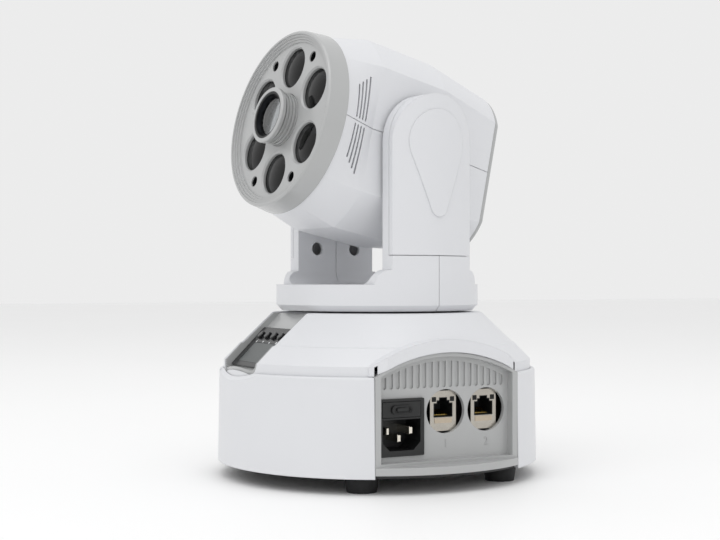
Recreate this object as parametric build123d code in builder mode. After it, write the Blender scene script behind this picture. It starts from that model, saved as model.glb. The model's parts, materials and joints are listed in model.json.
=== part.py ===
from build123d import *
import os
from math import atan2, cos, hypot, pi, radians, sin, sqrt

# Moving head light: a round base, a yoke that pans on it and a head that tilts in the yoke.
# Millimetres, +Z up, origin on the floor under the pan axis. The display faces -Y, and the
# connector panel faces +X. The beam leaves the head along -Y when pan and tilt are at home.

os.makedirs("parts", exist_ok=True)

# ---------------------------------------------------------------- driving dimensions
# Pose that the lamp is drawn in
pan_at_rest = 7.5
tilt_at_rest = 12.0

# Clearances
fit_gap = 0.2           # between two mouldings that register in each other
seam_gap = 0.3          # visible parting line between two shells
running_gap = 0.4       # beside a part that turns
bearing_gap = 0.05      # radial, round a shaft
slide_gap = 0.25        # round a part that slides

# Base shells
base_radius = 92.0
rim_radius = 91.2
foot_height = 8.5
shell_height = 52.1
shell_wall = 2.4
rim_round = 1.1         # its outer edge is broken by two flats
rim_ease = 0.35
seat_depth = 4.0        # how far the cover drops into the lower shell
seat_width = 3.2
seat_thickness = 2.4
plate_thickness = 1.6
band_height = 5.1
lower_cone_height = 9.2
lower_cone_run = 9.0
tier_step = 1.1
upper_cone_height = 17.6
top_radius = 60.6
top_round = 3.0
hub_hole_radius = 12.6

# Connector panel
panel_plane = 80.5      # distance of the panel's frame from the pan axis
panel_land = 0.6        # how far the panel stops short of the full chord
arch_rise = 11.8
frame_width = 3.4
frame_arch_width = 1.9
recess_depth = 4.9
panel_thickness = 2.4
ledge_height = 4.0
ledge_slope = 1.6
hood_width = 7.0
hood_reach = 1.1
vent_count = 19
vent_pitch = 4.0
vent_width = 2.3
vent_depth = 0.9
vent_foot = 45.3        # height of the grooves' feet above the shell's lower edge
vent_margin = 2.6

# Power inlet and its fuse drawer
inlet_width = 27.0
inlet_height = 30.0
inlet_side_gap = 0.4
inlet_foot = 10.4       # height of its lower edge above the shell's lower edge
flange_thickness = 1.6
inlet_depth = 24.0
inlet_border = 1.4
socket_width = 22.4
socket_height = 16.2
socket_depth = 16.0
socket_chamfer = 4.2
socket_foot = 3.0
pin_width = 4.0
pin_thickness = 2.0
pin_reach = 13.5
pin_spacing = 14.0
earth_drop = 3.9
drawer_width = 22.6
drawer_height = 8.0
drawer_depth = 20.0
drawer_face = 1.4
drawer_travel = 16.0

# Data sockets
jack_hole_radius = 11.7
jack_pitch = 25.4
jack_centre = 13.7      # middle of the pair, from the panel's centre line
jack_height = 32.5      # above the shell's lower edge
jack_width = 16.0
jack_body_height = 21.4
jack_depth = 18.0
port_width = 11.8
port_height = 7.6
port_depth = 12.5
port_foot = 7.3
latch_widths = (8.0, 5.0)
latch_step = 1.5

# Display channel
channel_tilt = 45.0
channel_foot_radius = 81.4
channel_foot_height = 53.8      # above the shell's lower edge
channel_half_width = 23.4
channel_nose = 5.5
channel_corner = 7.0
channel_length = 46.0
channel_wall = 1.6
channel_floor = 1.8
channel_rim_drop = 0.7
scoop_half_width = 25.4
scoop_rise = 2.2
display_width = 42.0
display_length = 28.7
display_thickness = 1.6
screen_width = 30.0
screen_length = 14.0
screen_foot = 3.0
screen_thickness = 0.7
screen_depth = 0.8
button_count = 4
button_pitch = 9.2
button_radius = 2.4
button_row = 22.4
button_proud = 1.5
button_travel = 0.8
button_flange = 1.1
board_thickness = 1.5
board_gap = 4.4
switch_height = 2.2

# Feet
foot_radius = 9.3
foot_foot_radius = 8.0
foot_circle = 77.0
foot_angle = 34.0
foot_screw_radius = 3.4
foot_screw_head = 2.2
foot_recess = 4.0
clamp_hole_spacing = 60.0
clamp_hole_radius = 3.0

# Pan drive
bracket_height = 63.5           # underside of its top plate above the shell's lower edge
bracket_half_width = 44.0
bracket_front = 38.0
bracket_rear = 64.0
bracket_corner = 14.0
leg_half_length = 20.0
leg_foot = 11.0
sheet = 1.6
pan_shaft_radius = 11.0
pan_shaft_bore = 7.5
pan_bearing_radius = 16.0
pan_bearing_drop = 4.0
pan_flange_radius = 18.5
bearing_flange = 1.4
pulley_width = 8.0
pulley_flange = 1.0
flange_rise = 1.7
belt_width = 5.4
belt_thickness = 1.4
belt_gap = 0.1
pan_pulley_radius = 28.0
pan_motor_pulley_radius = 7.0
pan_motor_distance = 45.5
motor_size = 35.0
motor_length = 26.0
motor_corner = 5.0
motor_boss_radius = 11.0
motor_shaft_radius = 2.5
nut_height = 4.0
nut_radius = 15.5

# Power supply
supply_width = 64.0
supply_length = 50.0
supply_post = 5.0

# Yoke
yoke_gap = 1.0
yoke_radius = 58.5
yoke_base_height = 14.7
yoke_chamfer = 3.2
axis_above_deck = 77.5
arm_face = 43.0
arm_width = 54.0
arm_wall = 2.2
arm_flare = 8.0
arm_cove = 8.0
arm_round = 1.6
cover_seam_height = 30.3        # seam of the side covers above the yoke's underside
cover_wrap = 2.8
pad_radius = 18.5
pad_foot_radius = 5.6
pad_length = 35.0
pad_height = 0.6
access_radius = 3.8
access_offset = 13.5
access_height = 21.5            # above the deck

# Head
head_cheek = 41.0
head_wall = 2.4
front_section = 57.2
front_radius = 50.6
mouth_inset = 1.4
shoulder_section = 33.0
waist_section = -12.0
rear_section = -56.5
mid_half_height = 54.0
mid_flat = 20.0
mid_corner_height = 35.0
rear_half_height = 46.0
rear_half_width = 34.0
rear_corner_height = 30.0
corner_bulge = 1.6
head_vent_count = 4
head_vent_pitch = 2.7
head_vent_first = 48.2
head_vent_width = 1.1
head_vent_gap = 1.6
head_vent_length = 18.6
head_vent_growth = 2.3
rear_plate_thickness = 3.6
rear_plate_inset = 0.8
rear_plate_round = 1.8
grille_bar = 2.0
grille_gap = 2.6
grille_radius = 19.0

# Front bezel
bezel_back = 57.5
bezel_radius = 51.6
bezel_front_radius = 50.1
bezel_front = 69.0
bezel_face = 65.4
bezel_wall = 2.4
bezel_round = 0.8
ridge_count = 4
ridge_width = 1.25
spigot_length = 3.0
spigot_wall = 1.6
lens_count = 6
lens_circle = 30.35
lens_hole_radius = 11.3
lens_hole_chamfer = 0.9
screw_circle = 39.05
screw_angle = 30.0
screw_hole_radius = 3.0
post_radius = 4.4
lens_flange_radius = 12.2
lens_flange_thickness = 1.4
lens_crown = 1.6
lens_back_radius = 5.5
lens_front_radius = 10.6

# Light engine
engine_board = 45.6             # front face of the LED board, along the beam
engine_radius = 41.0
engine_bore = 14.0
engine_board_thickness = 1.6
led_size = 5.0
led_height = 1.0
sink_plate = 4.0
fin_length = 12.0
fin_thickness = 1.6
fin_pitch = 6.0

# Focus barrel in the middle
barrel_front = 75.8
barrel_radius = 14.8
barrel_rim_radius = 15.7
barrel_rim = 2.4
barrel_groove = 0.9
barrel_groove_count = 4
barrel_pitch = 2.1
barrel_back = 55.0
cell_radius = 13.3
cell_bore = 12.1
cell_back = 53.0
sleeve_wall = 1.8
sleeve_length = 11.0
centre_lens_thickness = 5.0
centre_lens_crown = 2.2
centre_lens_depth = 2.6
lip_width = 1.0
focus_travel = 2.0

# Pattern wheel and its lamp
wheel_radius = 22.0
wheel_offset = 17.5
wheel_thickness = 1.0
wheel_place = 24.0
wheel_window_radius = 3.4
wheel_window_count = 7
wheel_motor_radius = 8.0
wheel_motor_length = 12.0
wheel_shaft_radius = 1.0
spot_block = 17.0
spot_front = 19.0
spot_back = -6.0

# Cooling fan
fan_size = 40.0
fan_thickness = 10.0
fan_wall = 1.4
fan_hub_radius = 9.0
fan_blade_count = 7
fan_blade_thickness = 1.0
fan_tip_gap = 0.8

# Tilt drive
tilt_shaft_radius = 6.0
tilt_shaft_bore = 3.6
tilt_flange_radius = 10.0
tilt_flange = 2.0
tilt_bearing_radius = 9.5
tilt_bearing_length = 6.6
tilt_pulley_radius = 15.0
tilt_pulley_width = 6.4
tilt_motor_pulley_radius = 6.0
tilt_motor_along = -15.0
tilt_motor_up = -28.0
tilt_motor_size = 28.0
tilt_motor_length = 24.0
tilt_belt_width = 4.2

# ---------------------------------------------------------------- levels and planes
z_base = foot_height
z_rim = z_base + shell_height
z_seat = z_rim - seat_depth
z_plate = z_base + plate_thickness
z_band = z_rim + band_height
z_tier = z_band + lower_cone_height
z_top = z_tier + upper_cone_height
z_yoke = z_top + yoke_gap
z_deck = z_yoke + yoke_base_height
z_axis = z_deck + axis_above_deck
z_cover_seam = z_yoke + cover_seam_height

shell_bore = rim_radius - shell_wall
seat_bore = shell_bore - seat_width
band_radius = shell_bore - seam_gap
tier_radius = band_radius - lower_cone_run
half_chord = sqrt(base_radius**2 - panel_plane**2)
panel_half = half_chord - panel_land
arch_foot = z_rim

yoke = Plane(
    origin=(0, 0, 0),
    x_dir=(cos(radians(pan_at_rest)), sin(radians(pan_at_rest)), 0),
    z_dir=(0, 0, 1),
)
arm_side = Plane(origin=(0, 0, 0), x_dir=yoke.y_dir, z_dir=yoke.x_dir)
yoke_front = Plane(origin=(0, 0, 0), x_dir=yoke.x_dir, z_dir=-yoke.y_dir)
beam = -yoke.y_dir * cos(radians(tilt_at_rest)) + yoke.z_dir * sin(radians(tilt_at_rest))
head = Plane(origin=(0, 0, z_axis), x_dir=yoke.x_dir, z_dir=beam)
head_side = Plane(origin=head.origin, x_dir=head.z_dir, z_dir=-head.x_dir)
beam_axis = Axis(head.origin, head.z_dir)
slope = Plane(
    origin=(0, -channel_foot_radius, z_base + channel_foot_height),
    x_dir=(1, 0, 0),
    z_dir=(0, -sin(radians(channel_tilt)), cos(radians(channel_tilt))),
)
far = 3 * base_radius


def arch_outline(half_width, foot, spring, rise):
    """Draw a window with upright sides and one arc across its top."""
    with BuildLine(Plane.XY) as outline:
        sides = Polyline((-half_width, spring), (-half_width, foot), (half_width, foot), (half_width, spring))
        ThreePointArc(sides @ 1, (0, spring + rise), sides @ 0)
    make_face(outline.edges())


def channel_outline(half_width, nose, length, corner):
    """Draw the display channel: straight sides and a rounded lower end."""
    with Locations((0, (length - nose) / 2)):
        blank = Rectangle(2 * half_width, length + nose)
    fillet(blank.vertices().group_by(Axis.Y)[0], corner)


def two_circle_outline(middle_a, radius_a, middle_b, radius_b):
    """Draw the line of a tight belt round two circles."""
    with BuildLine(Plane.XY) as outline:
        CenterArc(middle_a, radius_a, 0, 360)
        CenterArc(middle_b, radius_b, 0, 360)
    make_hull(outline.edges())


def pulley(radius, bore, width):
    """Draw half the section of a belt pulley with a flange at each side, on the local X axis."""
    with BuildLine(Plane.XY) as outline:
        Polyline(
            (bore, 0),
            (radius + flange_rise, 0),
            (radius + flange_rise, pulley_flange),
            (radius, pulley_flange),
            (radius, width - pulley_flange),
            (radius + flange_rise, width - pulley_flange),
            (radius + flange_rise, width),
            (bore, width),
            close=True,
        )
    make_face(outline.edges())


# ---------------------------------------------------------------- base: feet and bottom plate
foot_spots = [
    Location((foot_circle * cos(radians(a)), foot_circle * sin(radians(a)), 0))
    for a in (foot_angle, -foot_angle, 180 - foot_angle, 180 + foot_angle)
]

with BuildPart() as rubber_feet:
    for spot in foot_spots:
        with BuildSketch(Plane(spot)):
            Circle(foot_foot_radius)
        with BuildSketch(Plane(spot).offset(foot_height)):
            Circle(foot_radius)
        loft()
        with BuildSketch(Plane(spot)):
            Circle(foot_screw_radius + slide_gap)
        extrude(amount=foot_recess, mode=Mode.SUBTRACT)
rubber_feet.part.label = "rubber_feet"
export_step(rubber_feet.part, "parts/rubber_feet.step")

with BuildPart() as foot_screws:
    for spot in foot_spots:
        with BuildSketch(Plane(spot).offset(foot_recess - foot_screw_head)):
            Circle(foot_screw_radius)
        extrude(amount=foot_screw_head)
    chamfer(foot_screws.edges().group_by(Axis.Z)[0], foot_screw_head / 4)
    drive_plane = Plane.XY.offset(foot_recess - foot_screw_head)
    with BuildSketch(drive_plane):
        with Locations(*[spot.position for spot in foot_spots]):
            SlotOverall(foot_screw_radius * 1.2, foot_screw_radius / 4)
            SlotOverall(foot_screw_radius * 1.2, foot_screw_radius / 4, rotation=90)
    extrude(amount=foot_screw_head / 2, mode=Mode.SUBTRACT)
foot_screws.part.label = "foot_screws"
export_step(foot_screws.part, "parts/foot_screws.step")

with BuildPart() as bottom_plate:
    with BuildSketch(Plane.XY.offset(z_base)):
        Circle(shell_bore - fit_gap)
        with GridLocations(clamp_hole_spacing, clamp_hole_spacing, 2, 1):
            Circle(clamp_hole_radius, mode=Mode.SUBTRACT)
    extrude(amount=plate_thickness)
bottom_plate.part.label = "bottom_plate"
export_step(bottom_plate.part, "parts/bottom_plate.step")

# ---------------------------------------------------------------- base: lower shell
with BuildPart() as lower_shell:
    with BuildSketch(Plane.XZ):
        with BuildLine():
            Polyline(
                (base_radius, z_base),
                (rim_radius, z_rim - rim_round),
                (rim_radius - rim_ease, z_rim - rim_ease),
                (rim_radius - rim_round, z_rim),
                (shell_bore, z_rim),
                (shell_bore, z_seat),
                (seat_bore, z_seat),
                (seat_bore, z_seat - seat_thickness),
                (shell_bore, z_seat - seat_thickness - seat_width),
                (shell_bore, z_plate + seat_width + seat_thickness),
                (seat_bore, z_plate + seat_thickness),
                (seat_bore, z_plate),
                (shell_bore, z_plate),
                (shell_bore, z_base),
                close=True,
            )
        make_face()
    revolve(axis=Axis.Z)
    with BuildSketch(Plane.YZ.offset(panel_plane / 2)):
        with Locations((0, z_base + shell_height / 2)):
            Rectangle(2 * panel_half, 2 * shell_height)
    extrude(amount=base_radius, mode=Mode.SUBTRACT)
    with BuildSketch(slope.offset(scoop_rise)):
        channel_outline(scoop_half_width, channel_length, channel_length, channel_corner)
    extrude(amount=channel_length, mode=Mode.SUBTRACT)
    with BuildSketch(slope.offset(-channel_floor - fit_gap)):
        channel_outline(channel_half_width + fit_gap, channel_nose + fit_gap, channel_length, channel_corner)
    extrude(amount=channel_length, mode=Mode.SUBTRACT)
lower_shell.part.label = "lower_shell"
export_step(lower_shell.part, "parts/lower_shell.step")

# ---------------------------------------------------------------- base: upper cover
hood_half = half_chord + hood_reach
hood_foot = z_band
hood_rise = arch_foot + arch_rise + hood_width - hood_foot
hood_face = panel_plane + hood_reach

with BuildPart() as hood:
    with BuildSketch(Plane.YZ.offset(panel_plane / 2)):
        arch_outline(hood_half, z_rim + seam_gap, hood_foot, hood_rise)
    extrude(amount=hood_face - panel_plane / 2)
    with BuildSketch(Plane.XY):
        Circle(band_radius + hood_reach)
    extrude(amount=far, mode=Mode.INTERSECT)

with BuildPart() as hood_hollow:
    with BuildSketch(Plane.YZ):
        arch_outline(hood_half - shell_wall, z_base, hood_foot, hood_rise - shell_wall)
    extrude(amount=hood_face - shell_wall)

wall_run = shell_wall * sqrt(2)
with BuildPart() as upper_cover:
    with BuildSketch(Plane.XZ):
        with BuildLine():
            Polyline(
                (0, z_seat),
                (band_radius, z_seat),
                (band_radius, z_band),
                (tier_radius, z_tier),
                (tier_radius - tier_step, z_tier + tier_step / 3),
                (top_radius, z_top),
                (0, z_top),
                close=True,
            )
        make_face()
    revolve(axis=Axis.Z)
    top_edge = upper_cover.edges().filter_by(GeomType.CIRCLE).group_by(Axis.Z)[-1]
    fillet(top_edge, top_round)
    add(hood.part)
    with BuildSketch(Plane.XZ):
        with BuildLine():
            Polyline(
                (0, z_seat),
                (band_radius - shell_wall, z_seat),
                (band_radius - shell_wall, z_band - shell_wall / 2),
                (tier_radius - wall_run, z_tier - shell_wall / 2),
                (top_radius - shell_wall / 2, z_top - shell_wall),
                (0, z_top - shell_wall),
                close=True,
            )
        make_face()
    revolve(axis=Axis.Z, mode=Mode.SUBTRACT)
    add(hood_hollow.part, mode=Mode.SUBTRACT)
    with BuildSketch(Plane.YZ.offset(panel_plane / 2)):
        arch_outline(panel_half, z_base, arch_foot, arch_rise)
    extrude(amount=base_radius, mode=Mode.SUBTRACT)
    with BuildSketch(Plane.XY.offset(z_seat)):
        Circle(hub_hole_radius)
    extrude(amount=far, mode=Mode.SUBTRACT)
    with BuildSketch(slope.offset(-channel_floor - fit_gap)):
        channel_outline(channel_half_width + fit_gap, channel_nose + fit_gap, channel_length, channel_corner)
    extrude(amount=channel_length, mode=Mode.SUBTRACT)
upper_cover.part.label = "upper_cover"
export_step(upper_cover.part, "parts/upper_cover.step")

# ---------------------------------------------------------------- base: connector panel
face = panel_plane - recess_depth
panel_edge = panel_half - fit_gap
recess_half = panel_edge - frame_width
ledge_top = z_plate + fit_gap + ledge_height
inlet_across = -(recess_half - inlet_side_gap - inlet_width / 2)
inlet_low = z_base + inlet_foot
inlet_mid = inlet_low + inlet_height / 2
jack_spots = [(jack_centre - jack_pitch / 2, z_base + jack_height), (jack_centre + jack_pitch / 2, z_base + jack_height)]
inlet_shank_width = inlet_width - 2 * inlet_border
inlet_shank_height = inlet_height - 2 * inlet_border

with BuildPart() as vent_field:
    with BuildSketch(Plane.YZ.offset(face - vent_depth)):
        foot_line = z_base + vent_foot + vent_width / 2
        with Locations((0, foot_line)):
            with GridLocations(vent_pitch, 1, vent_count, 1):
                Circle(vent_width / 2)
        with Locations((0, foot_line + arch_foot / 4)):
            with GridLocations(vent_pitch, 1, vent_count, 1):
                Rectangle(vent_width, arch_foot / 2)
    extrude(amount=2 * vent_depth)
    with BuildSketch(Plane.YZ.offset(face - panel_thickness)):
        arch_outline(
            recess_half - vent_margin / 2,
            z_base,
            arch_foot - vent_margin,
            arch_rise - frame_arch_width - fit_gap,
        )
    extrude(amount=2 * panel_thickness, mode=Mode.INTERSECT)

with BuildPart() as connector_panel:
    with BuildSketch(Plane.YZ.offset(face - panel_thickness)):
        arch_outline(panel_edge, z_plate + fit_gap, arch_foot, arch_rise - fit_gap)
    extrude(amount=panel_plane - face + panel_thickness)
    with BuildSketch(Plane.YZ.offset(face)):
        arch_outline(recess_half, ledge_top + ledge_slope, arch_foot, arch_rise - frame_arch_width - fit_gap)
    extrude(amount=base_radius, mode=Mode.SUBTRACT)
    with BuildSketch(Plane.XZ.offset(-panel_edge)):
        with BuildLine():
            Polyline(
                (face - panel_thickness, z_plate + fit_gap),
                (base_radius, z_plate + fit_gap),
                (base_radius, ledge_top),
                (panel_plane, ledge_top),
                (face, ledge_top + ledge_slope),
                (face - panel_thickness, ledge_top + ledge_slope),
                close=True,
            )
        make_face()
    extrude(amount=2 * panel_edge)
    with BuildSketch(Plane.XY):
        Circle(base_radius)
    extrude(amount=far, mode=Mode.INTERSECT)
    add(vent_field.part, mode=Mode.SUBTRACT)
    with BuildSketch(Plane.YZ.offset(face - panel_thickness)):
        with Locations((inlet_across, inlet_mid)):
            Rectangle(inlet_shank_width + 2 * fit_gap, inlet_shank_height + 2 * fit_gap)
        with Locations(*jack_spots):
            Circle(jack_hole_radius)
    extrude(amount=panel_thickness, mode=Mode.SUBTRACT)
connector_panel.part.label = "connector_panel"
export_step(connector_panel.part, "parts/connector_panel.step")

# ---------------------------------------------------------------- base: power inlet
inlet_front = face + flange_thickness
socket_low = inlet_low + socket_foot
drawer_low = inlet_low + inlet_height - inlet_border - drawer_height - slide_gap
drawer_mid = drawer_low + drawer_height / 2
pin_mid = socket_low + socket_height / 2

with BuildPart() as power_inlet:
    with BuildSketch(Plane.YZ.offset(face)):
        with Locations((inlet_across, inlet_mid)):
            RectangleRounded(inlet_width, inlet_height, inlet_border / 2)
    extrude(amount=flange_thickness)
    with BuildSketch(Plane.YZ.offset(inlet_front - inlet_depth)):
        with Locations((inlet_across, inlet_mid)):
            Rectangle(inlet_shank_width, inlet_shank_height)
    extrude(amount=inlet_depth - flange_thickness)
    with BuildSketch(Plane.YZ.offset(inlet_front - socket_depth)):
        with Locations((inlet_across, pin_mid)):
            mouth = Rectangle(socket_width, socket_height)
        chamfer(mouth.vertices().group_by(Axis.Y)[0], socket_chamfer)
    extrude(amount=socket_depth, mode=Mode.SUBTRACT)
    with BuildSketch(Plane.YZ.offset(inlet_front - drawer_depth - slide_gap)):
        with Locations((inlet_across, drawer_mid)):
            Rectangle(drawer_width + 2 * slide_gap, drawer_height + 2 * slide_gap)
    extrude(amount=drawer_depth + slide_gap, mode=Mode.SUBTRACT)
power_inlet.part.label = "power_inlet"
export_step(power_inlet.part, "parts/power_inlet.step")

with BuildPart() as inlet_pins:
    with BuildSketch(Plane.YZ.offset(inlet_front - socket_depth)):
        with Locations((inlet_across, pin_mid + earth_drop / 2)):
            with GridLocations(pin_spacing, 1, 2, 1):
                Rectangle(pin_thickness, pin_width)
        with Locations((inlet_across, pin_mid - earth_drop / 2)):
            Rectangle(pin_thickness, pin_width)
    extrude(amount=pin_reach)
    chamfer(inlet_pins.faces().sort_by(Axis.X)[-3:].edges(), pin_thickness / 5)
inlet_pins.part.label = "inlet_pins"
export_step(inlet_pins.part, "parts/inlet_pins.step")

with BuildPart() as fuse_drawer:
    with BuildSketch(Plane.YZ.offset(inlet_front - drawer_depth)):
        with Locations((inlet_across, drawer_mid)):
            Rectangle(drawer_width, drawer_height)
    extrude(amount=drawer_depth)
    with BuildSketch(Plane.YZ.offset(inlet_front)):
        with Locations((inlet_across, drawer_mid)):
            SlotOverall(drawer_width / 2, drawer_height / 2)
            SlotOverall(drawer_width / 2 - drawer_face, drawer_height / 2 - drawer_face, mode=Mode.SUBTRACT)
    extrude(amount=drawer_face / 2)
    with BuildSketch(Plane.XY.offset(drawer_mid - drawer_height)):
        with Locations((inlet_front - drawer_depth / 2 - drawer_face, inlet_across)):
            Rectangle(drawer_depth - 2 * drawer_face, drawer_width - 4 * drawer_face)
    extrude(amount=drawer_height * 1.3, mode=Mode.SUBTRACT)
fuse_drawer.part.label = "fuse_drawer"
export_step(fuse_drawer.part, "parts/fuse_drawer.step")

# ---------------------------------------------------------------- base: data sockets
jack_front = face - panel_thickness - fit_gap
for jack_name, jack_spot in zip(("data_socket_in", "data_socket_out"), jack_spots):
    across, height = jack_spot
    port_low = height - jack_body_height / 2 + port_foot
    with BuildPart() as data_socket:
        with BuildSketch(Plane.YZ.offset(jack_front - jack_depth)):
            with Locations((across, height)):
                Rectangle(jack_width, jack_body_height)
        extrude(amount=jack_depth)
        with BuildSketch(Plane.YZ.offset(jack_front - port_depth)):
            with Locations((across, port_low + port_height / 2)):
                Rectangle(port_width, port_height)
            for step, latch_width in enumerate(latch_widths):
                with Locations((across, port_low + port_height + (step + 0.5) * latch_step)):
                    Rectangle(latch_width, latch_step)
        extrude(amount=port_depth, mode=Mode.SUBTRACT)
    data_socket.part.label = jack_name
    export_step(data_socket.part, f"parts/{jack_name}.step")

# ---------------------------------------------------------------- base: display
board_top = -channel_floor - board_gap
button_spots = [((i - (button_count - 1) / 2) * button_pitch, button_row) for i in range(button_count)]
button_hole = button_radius + slide_gap

with BuildPart() as channel_envelope:
    with BuildSketch(Plane.XZ):
        with BuildLine():
            Polyline(
                (0, z_seat - seat_depth),
                (rim_radius - channel_rim_drop, z_seat - seat_depth),
                (rim_radius - channel_rim_drop, z_rim - channel_rim_drop),
                (band_radius - channel_rim_drop, z_rim),
                (band_radius - channel_rim_drop, z_band),
                (tier_radius - channel_rim_drop, z_tier),
                (tier_radius - tier_step - channel_rim_drop, z_tier),
                (top_radius - channel_rim_drop, z_top - channel_rim_drop),
                (0, z_top - channel_rim_drop),
                close=True,
            )
        make_face()
    revolve(axis=Axis.Z)

with BuildPart() as display_channel:
    with BuildSketch(slope.offset(-channel_floor)):
        channel_outline(channel_half_width, channel_nose, channel_length, channel_corner)
    extrude(amount=channel_length)
    with BuildSketch(slope):
        channel_outline(
            channel_half_width - channel_wall,
            channel_nose - channel_wall,
            channel_length + channel_wall,
            channel_corner - channel_wall,
        )
    extrude(amount=channel_length, mode=Mode.SUBTRACT)
    add(channel_envelope.part, mode=Mode.INTERSECT)
    with BuildSketch(slope.offset(-channel_floor)):
        with Locations((0, display_length / 2)):
            with GridLocations(display_width - 2 * channel_wall, display_length - 4 * channel_wall, 2, 2):
                Circle(channel_wall)
    extrude(amount=-board_gap)
    with BuildSketch(slope):
        with Locations(*button_spots):
            Circle(button_hole)
    extrude(amount=-channel_floor, mode=Mode.SUBTRACT)
display_channel.part.label = "display_channel"
export_step(display_channel.part, "parts/display_channel.step")

with BuildPart() as display_panel:
    with BuildSketch(slope):
        with Locations((0, display_length / 2)):
            RectangleRounded(display_width, display_length, channel_wall / 2)
        with Locations(*button_spots):
            Circle(button_hole, mode=Mode.SUBTRACT)
    extrude(amount=display_thickness)
    with BuildSketch(slope.offset(display_thickness - screen_depth)):
        with Locations((0, screen_foot + screen_length / 2)):
            Rectangle(screen_width + 2 * fit_gap, screen_length + 2 * fit_gap)
    extrude(amount=screen_depth, mode=Mode.SUBTRACT)
display_panel.part.label = "display_panel"
export_step(display_panel.part, "parts/display_panel.step")

with BuildPart() as display_screen:
    with BuildSketch(slope.offset(display_thickness - screen_depth)):
        with Locations((0, screen_foot + screen_length / 2)):
            Rectangle(screen_width, screen_length)
    extrude(amount=screen_thickness)
display_screen.part.label = "display_screen"
export_step(display_screen.part, "parts/display_screen.step")

button_base = -channel_floor - fit_gap - button_flange
for number, button_spot in enumerate(button_spots, start=1):
    with BuildPart() as menu_button:
        with BuildSketch(slope.offset(button_base)):
            with Locations(button_spot):
                Circle(button_radius + button_flange)
        extrude(amount=button_flange)
        with BuildSketch(slope.offset(button_base)):
            with Locations(button_spot):
                Circle(button_radius)
        extrude(amount=display_thickness + button_proud - button_base)
        crown = menu_button.edges().filter_by(GeomType.CIRCLE).sort_by(Axis(slope.origin, slope.z_dir))[-1]
        fillet(crown, button_radius / 4)
    menu_button.part.label = f"menu_button_{number}"
    export_step(menu_button.part, f"parts/menu_button_{number}.step")

with BuildPart() as control_board:
    with BuildSketch(slope.offset(board_top)):
        with Locations((0, display_length / 2)):
            Rectangle(display_width - channel_wall, display_length + channel_wall)
    extrude(amount=-board_thickness)
    with BuildSketch(slope.offset(board_top)):
        with Locations(*button_spots):
            Rectangle(2 * button_radius, 2 * button_radius)
    extrude(amount=switch_height - button_travel)
control_board.part.label = "control_board"
export_step(control_board.part, "parts/control_board.step")

# ---------------------------------------------------------------- base: pan drive
z_bracket = z_base + bracket_height
z_bracket_top = z_bracket + sheet
z_pan_flange = z_bracket_top + bearing_flange
z_pulley = z_pan_flange + running_gap
pan_bore = pan_shaft_radius + bearing_gap
motor_place = (0, pan_motor_distance)

with BuildPart() as pan_bracket:
    with BuildSketch(Plane.XY.offset(z_bracket)):
        with Locations((0, (bracket_rear - bracket_front) / 2)):
            top = Rectangle(2 * bracket_half_width, bracket_rear + bracket_front)
        chamfer(top.vertices(), bracket_corner)
        Circle(pan_bearing_radius + fit_gap, mode=Mode.SUBTRACT)
        with Locations(motor_place):
            Circle(motor_boss_radius + fit_gap, mode=Mode.SUBTRACT)
    extrude(amount=sheet)
    for side in (-1, 1):
        with BuildSketch(Plane.XY.offset(z_plate)):
            with Locations((side * (bracket_half_width - sheet / 2), 0)):
                Rectangle(sheet, 2 * leg_half_length)
        extrude(amount=z_bracket - z_plate)
        with BuildSketch(Plane.XY.offset(z_plate)):
            with Locations((side * (bracket_half_width - leg_foot / 2), 0)):
                Rectangle(leg_foot, 2 * leg_half_length)
        extrude(amount=sheet)
pan_bracket.part.label = "pan_bracket"
export_step(pan_bracket.part, "parts/pan_bracket.step")

with BuildPart() as pan_bearing:
    with BuildSketch(Plane.XY.offset(z_bracket - pan_bearing_drop)):
        Circle(pan_bearing_radius)
        Circle(pan_bore, mode=Mode.SUBTRACT)
    extrude(amount=pan_bearing_drop + sheet)
    with BuildSketch(Plane.XY.offset(z_bracket_top)):
        Circle(pan_flange_radius)
        Circle(pan_bore, mode=Mode.SUBTRACT)
    extrude(amount=bearing_flange)
pan_bearing.part.label = "pan_bearing"
export_step(pan_bearing.part, "parts/pan_bearing.step")

z_nut = z_bracket - pan_bearing_drop - running_gap - nut_height
with BuildPart() as pan_nut:
    with BuildSketch(Plane.XY.offset(z_nut)):
        RegularPolygon(nut_radius, 6)
        Circle(pan_bore, mode=Mode.SUBTRACT)
    extrude(amount=nut_height)
pan_nut.part.label = "pan_nut"
export_step(pan_nut.part, "parts/pan_nut.step")

with BuildPart() as pan_shaft:
    with BuildSketch(Plane.XY.offset(z_nut - running_gap)):
        Circle(pan_shaft_radius)
    extrude(amount=z_yoke + arm_wall - z_nut + running_gap)
    with BuildSketch(Plane.XY.offset(z_yoke + arm_wall)):
        Circle(2 * pan_shaft_radius)
    extrude(amount=arm_wall)
    with BuildSketch(Plane.XY.offset(z_nut - running_gap)):
        Circle(pan_shaft_bore)
    extrude(amount=far, mode=Mode.SUBTRACT)
pan_shaft.part.label = "pan_shaft"
export_step(pan_shaft.part, "parts/pan_shaft.step")

with BuildPart() as pan_pulley:
    with BuildSketch(Plane(origin=(0, 0, z_pulley), x_dir=(1, 0, 0), z_dir=(0, -1, 0))):
        pulley(pan_pulley_radius, pan_bore, pulley_width)
    revolve(axis=Axis.Z)
pan_pulley.part.label = "pan_pulley"
export_step(pan_pulley.part, "parts/pan_pulley.step")

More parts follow.
